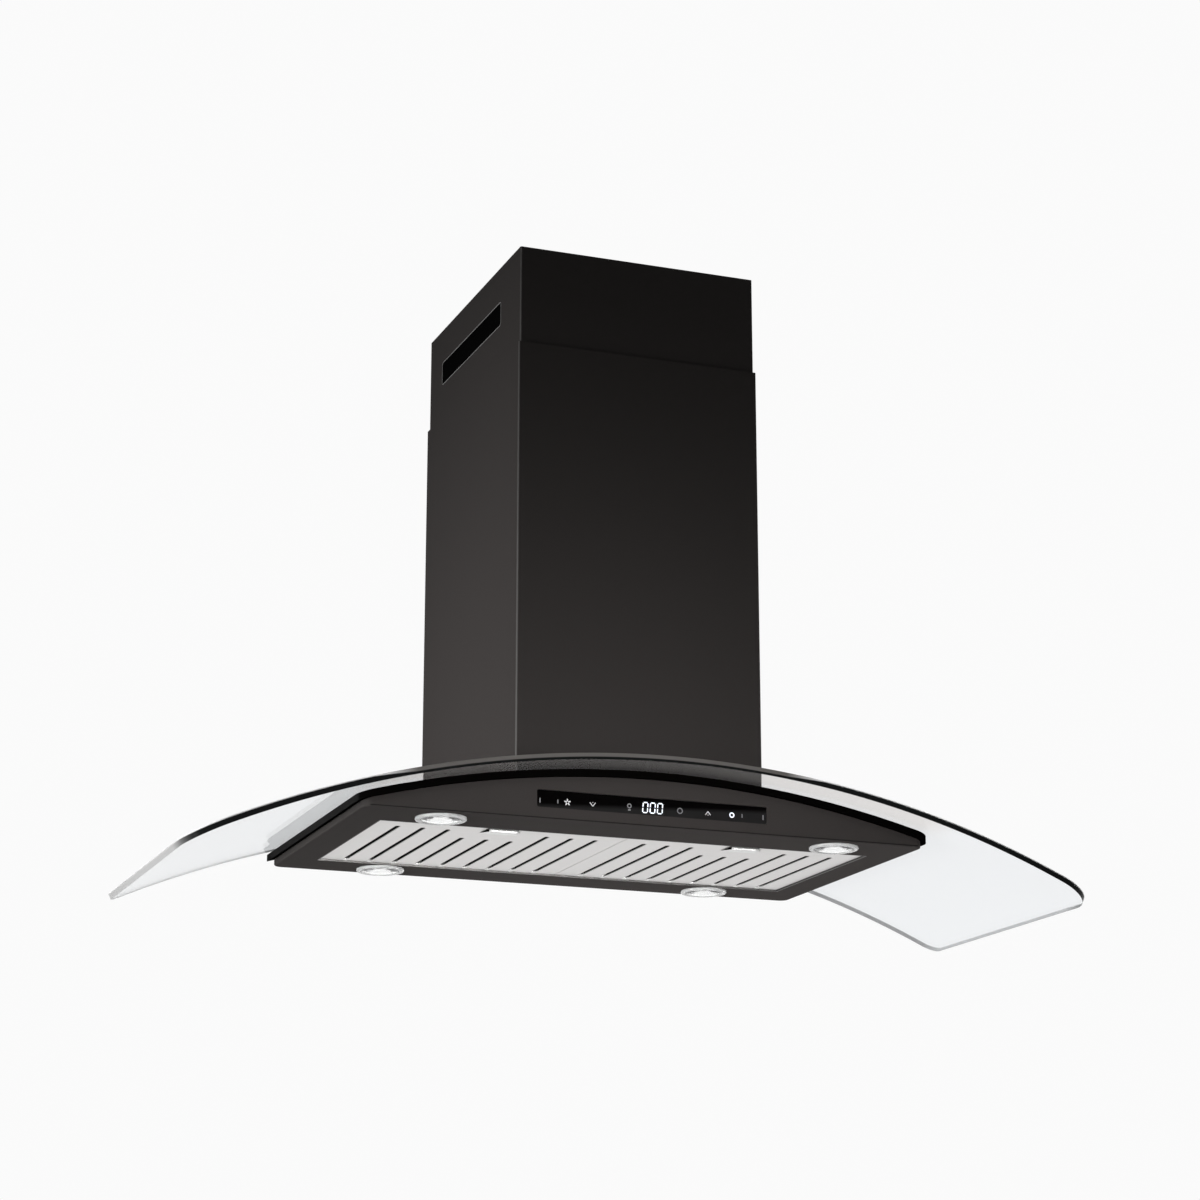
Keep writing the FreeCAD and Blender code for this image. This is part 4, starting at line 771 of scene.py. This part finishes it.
lamp_ring = finish("clear lamp ring", (0.92, 0.92, 0.92), pebble, "Cloud", [("Size", 900.0)],
                   dark=0.96, gloss=(0.08, 0.16), settings=[("Transmission Weight", 0.6)])
dress(lamp_ring, "lamp_bezels")

# %% Diffusers
DIFFUSER_Z = COVER_TOP + 0.0008
DIFFUSER_RADIUS = 0.0182
DIFFUSER_RIM = 0.0005


def diffuser(x, y, rows=9, steps=40):
    """A thin disc. Radius and height of its rim follow half a circle, from top to underside."""
    t = np.linspace(0, math.pi, rows)[:, None]
    turn = np.arange(steps) / steps * 2 * math.pi
    radius = DIFFUSER_RADIUS + DIFFUSER_RIM * np.sin(t)
    radius[0] = radius[-1] = 0.0
    z = np.broadcast_to(DIFFUSER_Z + DIFFUSER_RIM * np.cos(t), (rows, steps))
    return np.stack([x + radius * np.cos(turn), y + radius * np.sin(turn), z], axis=-1), True


diffuse_white = finish("lamp diffuser", (0.85, 0.85, 0.85), pebble, "Cloud", [("Size", 900.0)],
                       dark=0.95, gloss=(0.5, 0.6))
give_light(diffuse_white, (1.0, 0.99, 0.97), 0.7)
make_piece("lamp_diffusers", [diffuser(x, y) for x, y in LAMPS], "body", diffuse_white)

# %% [markdown]
# ## Finger tabs of the filter latches
#
# Each latch has a pressed tab near the front edge of its filter. It hangs 2.4 mm low there, with a
# bright folded lip, and runs up to the filter 21 mm further back, where it is wider. A profile from
# front to back is carried across, and its width grows on the way. At each side a black sheet closes
# the wedge: it is painted shade, for the shadow under the tab.

# %% A tab and its sheets of painted shade
TAB_TOP = -0.2487  # just under the faceplate
TAB_FRONT = -0.2545
TAB_LENGTH = 0.0215
TAB_HALF = 0.0150
TAB_GROWTH = 0.0035
TAB_PROFILE = np.array([[0.0, -0.0002], [0.0, -0.0018], [0.0002, -0.0022], [0.0007, -0.0024],
                        [0.0014, -0.0023], [0.0110, -0.0014], [0.0200, -0.0004], [0.0215, -0.0003]])


def finger_tab(x):
    """Rows follow the profile (distance back, drop), columns go across."""
    across = np.linspace(-1, 1, 9)[None, :]
    back, drop = TAB_PROFILE[:, :1], TAB_PROFILE[:, 1:]
    half = TAB_HALF + TAB_GROWTH * back / TAB_LENGTH
    one = np.ones_like(across)
    y, z = (TAB_FRONT + back) * one, (TAB_TOP + drop) * one
    return np.stack([x + half * across, y, z], axis=-1), False


def shade_sheet(x, side):
    """A black sheet of painted shade under the side of the tab: rows from the faceplate down to the
    tab, columns go back.
    """
    back = np.linspace(0.0006, 0.0195, 8)[None, :]
    drop = np.interp(back, TAB_PROFILE[3:, 0], TAB_PROFILE[3:, 1])
    share = np.array([0.0, 1.0])[:, None]
    half = TAB_HALF - 0.0005 + TAB_GROWTH * back / TAB_LENGTH
    one = np.ones_like(share)
    return np.stack([x + side * half * one, (TAB_FRONT + back) * one,
                     TAB_TOP - 0.0001 + (drop + 0.0003) * share], axis=-1), False


TAB_X = 0.12365
for side, x in (("left", -TAB_X), ("right", TAB_X)):
    tab = make_piece(f"latch_{side}_tab", [finger_tab(x)], f"latch_{side}", tab_metal)
    # black sheets of painted shade at the sides of the tab
    shade_sheets = make_piece(f"latch_{side}_cheeks", [shade_sheet(x, -1), shade_sheet(x, 1)], f"latch_{side}",
                        band_black, smooth=False)
    for piece, thickness in ((tab, 0.0002), (shade_sheets, 0.0003)):
        thicken(piece, thickness)

# %% [markdown]
# ## Pressed ends of the slots
#
# Where a slot ends, the sheet is pressed outward into a small bump, which catches the light from the
# front. A bump is half of a flat ellipsoid, and the 18 of them are one mesh for each filter.

# %% Bumps behind the slots
SLOT_PITCH = 0.02467
SLOT_END = -0.0578
BUMP_FOOT = -0.2485 + 0.0001  # just inside the sheet
BUMP_WIDE, BUMP_LONG, BUMP_HIGH = 0.0028, 0.0018, 0.0011


def bump(x):
    """Half of an ellipsoid, from its half axes. Rows go from the crown to the rim, columns round it."""
    t = np.linspace(0, math.pi / 2, 6)[:, None]
    turn = np.arange(16) / 16 * 2 * math.pi
    z = BUMP_FOOT - BUMP_HIGH * np.cos(t) * np.ones_like(turn)
    return np.stack([x + BUMP_WIDE * np.sin(t) * np.cos(turn),
                     SLOT_END + BUMP_LONG * np.sin(t) * np.sin(turn), z], axis=-1), True


for side, x in (("left", -TAB_X), ("right", TAB_X)):
    make_piece(f"filter_{side}_slot_ends", [bump(x + step * SLOT_PITCH) for step in range(-4, 5)],
               f"filter_{side}", latch_metal)

# %% [markdown]
# ## Painted shade behind the vent slots
#
# Air leaves the chimney through a long slot near the top of each side, and no light shows in the
# slots. A black strip lies behind each, on the inside of the cover, and slides with it: it is painted
# shade, for the dark inside of the chimney.

# %% Strips of painted shade
SLOT_MIDDLE_Y = -0.136
SLOT_MIDDLE_Z = 0.27875
SHADE_HALF_LENGTH = 0.100
SHADE_HALF_HEIGHT = 0.0180
SHADE_FACE = 0.12295  # just clear of the inside of the cover
SHADE_THICK = 0.0006
SHADE_SQUARENESS = 0.15  # 1 is an ellipse, 0 a rectangle


def shade_strip(side, steps=64):
    """A flat strip with rounded corners. Columns go round its outline, whose y and z are powers of
    cosine and sine. Rows go from the middle of one face over the rim to the middle of the other."""
    turn = (np.arange(steps) + 0.5) / steps * 2 * math.pi
    y = np.sign(np.cos(turn)) * np.abs(np.cos(turn)) ** SHADE_SQUARENESS
    z = np.sign(np.sin(turn)) * np.abs(np.sin(turn)) ** SHADE_SQUARENESS
    share = np.array([0.0, 1.0, 1.0, 0.0])[:, None]
    depth = np.array([0.0, 0.0, SHADE_THICK, SHADE_THICK])[:, None]
    x = side * (SHADE_FACE - depth) * np.ones_like(turn)
    return np.stack([x, SLOT_MIDDLE_Y + SHADE_HALF_LENGTH * y * share,
                     SLOT_MIDDLE_Z + SHADE_HALF_HEIGHT * z * share], axis=-1), True


# painted shade: a dull near black behind each slot
shade_black = finish("black of painted shade", (0.004, 0.004, 0.004), pebble, "Pebble", [("Size", 2600.0)],
                    dark=0.4, gloss=(0.9, 1.0), bump=0.5, depth=1e-4,
                    settings=[("Specular IOR Level", 0.0)])
make_piece("vent_shade_strips", [shade_strip(-1), shade_strip(1)], "upper_chimney", shade_black,
           smooth=False)

# %% [markdown]
# ## Lips of the vent slots
#
# The edge of each slot is rolled outward, and a tube carried round the slot's outline gives that
# roll. The fine pale line along it is a painted highlight, put into the tube's colour.

# %% Lips
SLOT_HALF_LENGTH = 0.0940
SLOT_HALF_HEIGHT = 0.01225
SLOT_CORNER = 0.003
COVER_FACE = 0.124
LIP_RADIUS = 0.00042


def slot_lip(side, steps=9):
    """A thin tube round a slot. Columns go round a rectangle with rounded corners: corner centre plus
    radius times (cos, sin). Rows go round the tube, in the plane of (cos, sin) and x."""
    quarter = np.linspace(0, math.pi / 2, steps)
    turn = np.concatenate([quarter + step * math.pi / 2 for step in range(4)])
    quadrant = np.repeat(np.arange(4), steps)
    right = np.array([1, -1, -1, 1])[quadrant]
    up = np.array([1, 1, -1, -1])[quadrant]
    round_tube = np.linspace(0, 2 * math.pi, steps)[:, None]
    reach = SLOT_CORNER + LIP_RADIUS * np.cos(round_tube)
    lift = LIP_RADIUS * np.sin(round_tube)
    y = SLOT_MIDDLE_Y + right * (SLOT_HALF_LENGTH - SLOT_CORNER) + reach * np.cos(turn)
    z = SLOT_MIDDLE_Z + up * (SLOT_HALF_HEIGHT - SLOT_CORNER) + reach * np.sin(turn)
    return np.stack([side * (COVER_FACE + lift) * np.ones_like(turn), y, z], axis=-1), True


# painted highlight: a pale coat on the rolled lip
lip_highlight_coat = finish("coat with painted highlight", (0.14, 0.137, 0.135), pebble, "Pebble", [("Size", 900.0)],
                  dark=0.8, gloss=(0.3, 0.4))
make_piece("vent_lips", [slot_lip(-1), slot_lip(1)], "upper_chimney", lip_highlight_coat)

# %% [markdown]
# ## Touch strip
#
# Behind the black glass sit lit symbols: a fan, arrows down and up, a bulb, three digits and two
# rings, with short printed marks at the sides. Each is a thin print on the glass. A print is a flat
# grid with a little thickness: a ring is angle by radius, a bar is length by width.

# %% Shapes of the prints
strip_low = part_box("control_glass")[0]
PRINT_Y = strip_low.y - 0.00006
PRINT_Z = strip_low.z + 0.0062  # the middle line of the symbols
print("symbols at", round(PRINT_Z, 4), "m")


def flat(x, z):
    """Points of a print, on the front of the strip, from arrays of x and z in metres."""
    return np.stack([x, np.full_like(x, PRINT_Y), z], axis=-1)


def bar(x0, z0, x1, z1, width, pointed=0.0):
    """A bar from one point to another. Rows run along it, and its half width falls to zero over the
    pointed share at each end."""
    t = np.array([0.0, max(pointed, 1e-3), 1 - max(pointed, 1e-3), 1.0])
    half = np.array([0.0 if pointed else 1.0, 1.0, 1.0, 0.0 if pointed else 1.0]) * width / 2
    length = math.hypot(x1 - x0, z1 - z0)
    nx, nz = -(z1 - z0) / length, (x1 - x0) / length
    side = np.array([-1.0, 1.0])[None, :]
    x = x0 + (x1 - x0) * t[:, None] + nx * half[:, None] * side
    z = z0 + (z1 - z0) * t[:, None] + nz * half[:, None] * side
    return flat(x, z), False


def ring(cx, cz, inner, outer, steps=32):
    """A flat ring: columns are turns, rows the inner and the outer edge."""
    turn = np.arange(steps) / steps * 2 * math.pi
    radius = np.array([inner, outer])[:, None]
    return flat(cx + radius * np.cos(turn), cz + radius * np.sin(turn)), True


def fan_sign(cx, cz, size, blades=5, steps=60):
    """Blades round a hub: the radius swings between hub and tip five times in a turn."""
    turn = np.arange(steps) / steps * 2 * math.pi
    tip = size * (0.62 + 0.38 * np.cos(blades * turn))
    radius = np.stack([np.full(steps, size * 0.26), tip])
    lean = np.array([0.0, 0.35])[:, None]
    return flat(cx + radius * np.cos(turn + lean), cz + radius * np.sin(turn + lean)), True


def arrow_sign(cx, cz, half_width, height, way, stroke=0.0007, dot=0.0008):
    """An arrow head: two bars that meet in the point, and a dot between them."""
    base, point = cz - way * height / 2, cz + way * height / 2
    sides = [bar(cx + side * half_width, base, cx, point, stroke) for side in (-1, 1)]
    return [*sides, bar(cx - dot / 2, base, cx + dot / 2, base, dot)]


# %% Digits with seven segments
SEGMENTS = (((-1, 1), (1, 1)), ((1, 1), (1, 0)), ((1, 0), (1, -1)),
            ((-1, -1), (1, -1)), ((-1, 0), (-1, -1)), ((-1, 1), (-1, 0)))
DIGIT_LEAN = 0.08
DIGIT_GAP = 0.06
DIGIT_POINT = 0.14


def digit_zero(cx, cz, half_width, half_height, stroke):
    """A nought: six bars of a seven-segment digit, leaned a little to the right, with gaps between
    them. The gaps, the lean and the points of the bars are shares of a bar's own size."""
    bars = []
    for ends in SEGMENTS:
        (x0, z0), (x1, z1) = [(cx + right * half_width + up * DIGIT_LEAN * half_height,
                               cz + up * half_height) for right, up in ends]
        run, rise = (x1 - x0) * DIGIT_GAP, (z1 - z0) * DIGIT_GAP
        bars.append(bar(x0 + run, z0 + rise, x1 - run, z1 - rise, stroke, pointed=DIGIT_POINT))
    return bars


# %% Lit and dim prints


def print_material(name, colour, glow):
    """A print that gives off a little light of its own, with the faint unevenness of ink."""
    material = finish(name, colour, pebble, "Pebble", [("Size", 3000.0)], dark=0.85, gloss=(0.35, 0.45))
    give_light(material, colour, glow)
    return material


lit_print = print_material("lit print", (0.80, 0.84, 0.92), 0.75)
half_print = print_material("half lit print", (0.55, 0.55, 0.57), 0.30)
dim_print = print_material("dim print", (0.16, 0.16, 0.17), 0.06)
print("made:", lit_print.name, half_print.name, dim_print.name, sep=", ")

# %% Signs and where they stand: x from the middle, height from the symbols' line
half_lit = [fan_sign(-0.0855, PRINT_Z, 0.0034),
            *arrow_sign(-0.0605, PRINT_Z - 0.0002, 0.0028, 0.0036, -1),
            *arrow_sign(0.0555, PRINT_Z, 0.0026, 0.0034, 1)]
lit = [ring(0.0800, PRINT_Z, 0.0015, 0.0026)]
for middle in (-0.0080, -0.0006, 0.0068):
    lit += digit_zero(middle, PRINT_Z + 0.0008, 0.0024, 0.0048, 0.0011)
dim = [ring(-0.0240, PRINT_Z + 0.0012, 0.0013, 0.0023),
       bar(-0.0252, PRINT_Z - 0.0026, -0.0228, PRINT_Z - 0.0026, 0.0016),
       ring(0.0270, PRINT_Z + 0.0002, 0.0020, 0.0029)]
for x, height in ((-0.1125, 0.0044), (-0.0950, 0.0036), (0.0905, 0.0036), (0.1122, 0.0046)):
    dim.append(bar(x, PRINT_Z - height / 2, x, PRINT_Z + height / 2, 0.0011))
print("signs:", len(lit), "lit,", len(half_lit), "half lit,", len(dim), "dim")

# %% Prints on the glass
PRINT_THICK = 0.00005


def print_piece(name, grids, material):
    """A print on the touch glass, thickened by a few hundredths of a millimetre."""
    piece = make_piece(name, grids, "body", material, smooth=False, merge=1e-7)
    thicken(piece, PRINT_THICK)


print_piece("touch_signs_lit", lit, lit_print)
print_piece("touch_signs_half_lit", half_lit, half_print)
print_piece("touch_signs_dim", dim, dim_print)

# %% [markdown]
# ## Floor, light and camera
#
# The hood hangs on a wall, and one looks up at it. The floor is pale and one-sided: seen from below
# it lets the eye through, so that it never hides the hood. Soft lamps stand at the left, in front, at
# the right, below, behind and above. The world is near white to the eye and in reflections, and
# dimmer as a light.

# %% Floor
FLOOR_Z = -0.95
FLOOR_HALF = 6.0
floor_x, floor_y = np.meshgrid([-FLOOR_HALF, FLOOR_HALF], [-FLOOR_HALF, FLOOR_HALF])
floor_mesh = bpy.data.meshes.new("floor")
floor_points = np.stack([floor_x, floor_y, np.full_like(floor_x, FLOOR_Z)], axis=-1).reshape(-1, 3)
floor_mesh.from_pydata(floor_points.tolist(), [], [[0, 1, 3, 2]])
floor = add_object("floor", floor_mesh)
print("floor at", FLOOR_Z, "m")

# %% Finish of the floor
EVEN_SHARE = 0.8  # of what the eye sees. The rest shows the shadows


def one_sided(name, colour, mirrored):
    """A backdrop: plain to lamps, an even tone in reflections, through glass and mostly to the eye,
    and open from behind."""
    material, tree, shader = new_material(name)
    shader.inputs["Base Color"].default_value = (colour, colour, colour, 1.0)
    shader.inputs["Roughness"].default_value = 0.7
    path = tree.nodes.new("ShaderNodeLightPath")
    indirect = math_node(tree, "MAXIMUM", path.outputs["Is Glossy Ray"],
                         path.outputs["Is Transmission Ray"])
    tone = tree.nodes.new("ShaderNodeEmission")
    tone.inputs["Color"].default_value = (mirrored, mirrored, mirrored, 1.0)
    tone.inputs["Strength"].default_value = 1.0
    to_eye = math_node(tree, "MULTIPLY", path.outputs["Is Camera Ray"], EVEN_SHARE)
    front = mix_shaders(tree, math_node(tree, "MAXIMUM", indirect, to_eye), shader.outputs["BSDF"],
                        tone.outputs["Emission"])
    geometry = tree.nodes.new("ShaderNodeNewGeometry")
    clear = tree.nodes.new("ShaderNodeBsdfTransparent")
    surface = mix_shaders(tree, geometry.outputs["Backfacing"], front, clear.outputs["BSDF"])
    tree.links.new(surface, tree.nodes["Material Output"].inputs["Surface"])
    return material


floor_mesh.materials.append(one_sided("pale floor", 0.80, 0.86))
print(floor_mesh.materials[0].name, "is on the floor")

# %% [markdown]
# ## World
#
# One world does two jobs. To the eye, in mirrors and through glass it is a near white room. As a
# light it is dim, so that the lamps model the black sheet metal. Light Path tells the rays apart.

# %% World
world = bpy.data.worlds.new("studio")
bpy.context.scene.world = world
world.use_nodes = True
tree = world.node_tree
tree.nodes.clear()
path = tree.nodes.new("ShaderNodeLightPath")
seen = tree.nodes.new("ShaderNodeBackground")
seen.inputs["Color"].default_value = (0.96, 0.96, 0.96, 1.0)
seen.inputs["Strength"].default_value = 1.0
ambient = tree.nodes.new("ShaderNodeBackground")
ambient.inputs["Color"].default_value = (1.0, 0.99, 0.98, 1.0)
ambient.inputs["Strength"].default_value = 0.055
seen_ray = math_node(tree, "MAXIMUM", path.outputs["Is Camera Ray"],
                     path.outputs["Is Transmission Ray"])
shown_ray = math_node(tree, "MAXIMUM", seen_ray, path.outputs["Is Glossy Ray"])
output = tree.nodes.new("ShaderNodeOutputWorld")
either = mix_shaders(tree, shown_ray, ambient.outputs["Background"], seen.outputs["Background"])
tree.links.new(either, output.inputs["Surface"])
print("world strength as a light:", round(ambient.inputs["Strength"].default_value, 3))

# %% [markdown]
# ## Lamps of the studio
#
# The left lamp is the main one, low and narrow, and the front lamp lights the front face and the
# touch strip. Only these two show in metal. The side, back and top lamps keep the far sides readable,
# and the low lamp fills the underside.

# %% Lamps


def studio_lamp(name, place, aim, size, power, spread=180, mirrored=False):
    """A square area lamp at a place, turned to a point. A small spread keeps its light together, and
    a lamp that is mirrored shows in metal and glass."""
    data = bpy.data.lights.new(name, "AREA")
    data.size = size
    data.energy = power
    data.spread = math.radians(spread)
    lamp = add_object(name, data)
    lamp.visible_camera = False
    lamp.visible_transmission = False
    lamp.visible_glossy = mirrored
    lamp.location = place
    lamp.rotation_mode = "QUATERNION"
    lamp.rotation_quaternion = (Vector(aim) - Vector(place)).to_track_quat("-Z", "Y")
    print(name, power, "W")


studio_lamp("left lamp", (-2.25, -0.42, -0.50), (0, -0.15, -0.27), 0.8, 3.9, 36, True)
studio_lamp("front lamp", (0.3, -2.5, -0.62), (-0.06, -0.3, -0.38), 0.6, 1.2, 22, True)
studio_lamp("side lamp", (2.3, 0.3, 0.0), (0, -0.15, 0), 1.0, 14)
studio_lamp("low lamp", (0.1, -0.12, -0.93), (0.03, -0.16, -0.25), 1.0, 5.6)
studio_lamp("back lamp", (0.6, 2.2, 0.5), (0, 0, 0), 1.4, 26)
studio_lamp("top lamp", (0.2, -0.2, 2.4), (0, -0.15, 0), 1.8, 7)

# %% [markdown]
# ## Camera
#
# The camera stands low at the front left, 21 degrees off the middle and 16 degrees below, far enough
# away for a long lens.

# %% Camera
AIM = Vector((0.0003, -0.1812, 0.0075))
AZIMUTH = math.radians(-21)
ELEVATION = math.radians(-15.76)
DISTANCE = 2.903
back = Vector((math.sin(AZIMUTH) * math.cos(ELEVATION), -math.cos(AZIMUTH) * math.cos(ELEVATION),
               math.sin(ELEVATION)))
camera_data = bpy.data.cameras.new("camera")
camera_data.sensor_width = 36.0
camera_data.lens = 87.09
camera = add_object("camera", camera_data)
camera.location = AIM + back * DISTANCE
camera.rotation_mode = "QUATERNION"
camera.rotation_quaternion = (-back).to_track_quat("-Z", "Y")
bpy.context.scene.camera = camera
bpy.context.scene.view_settings.view_transform = "Standard"
print("camera at", [round(value, 3) for value in camera.location])
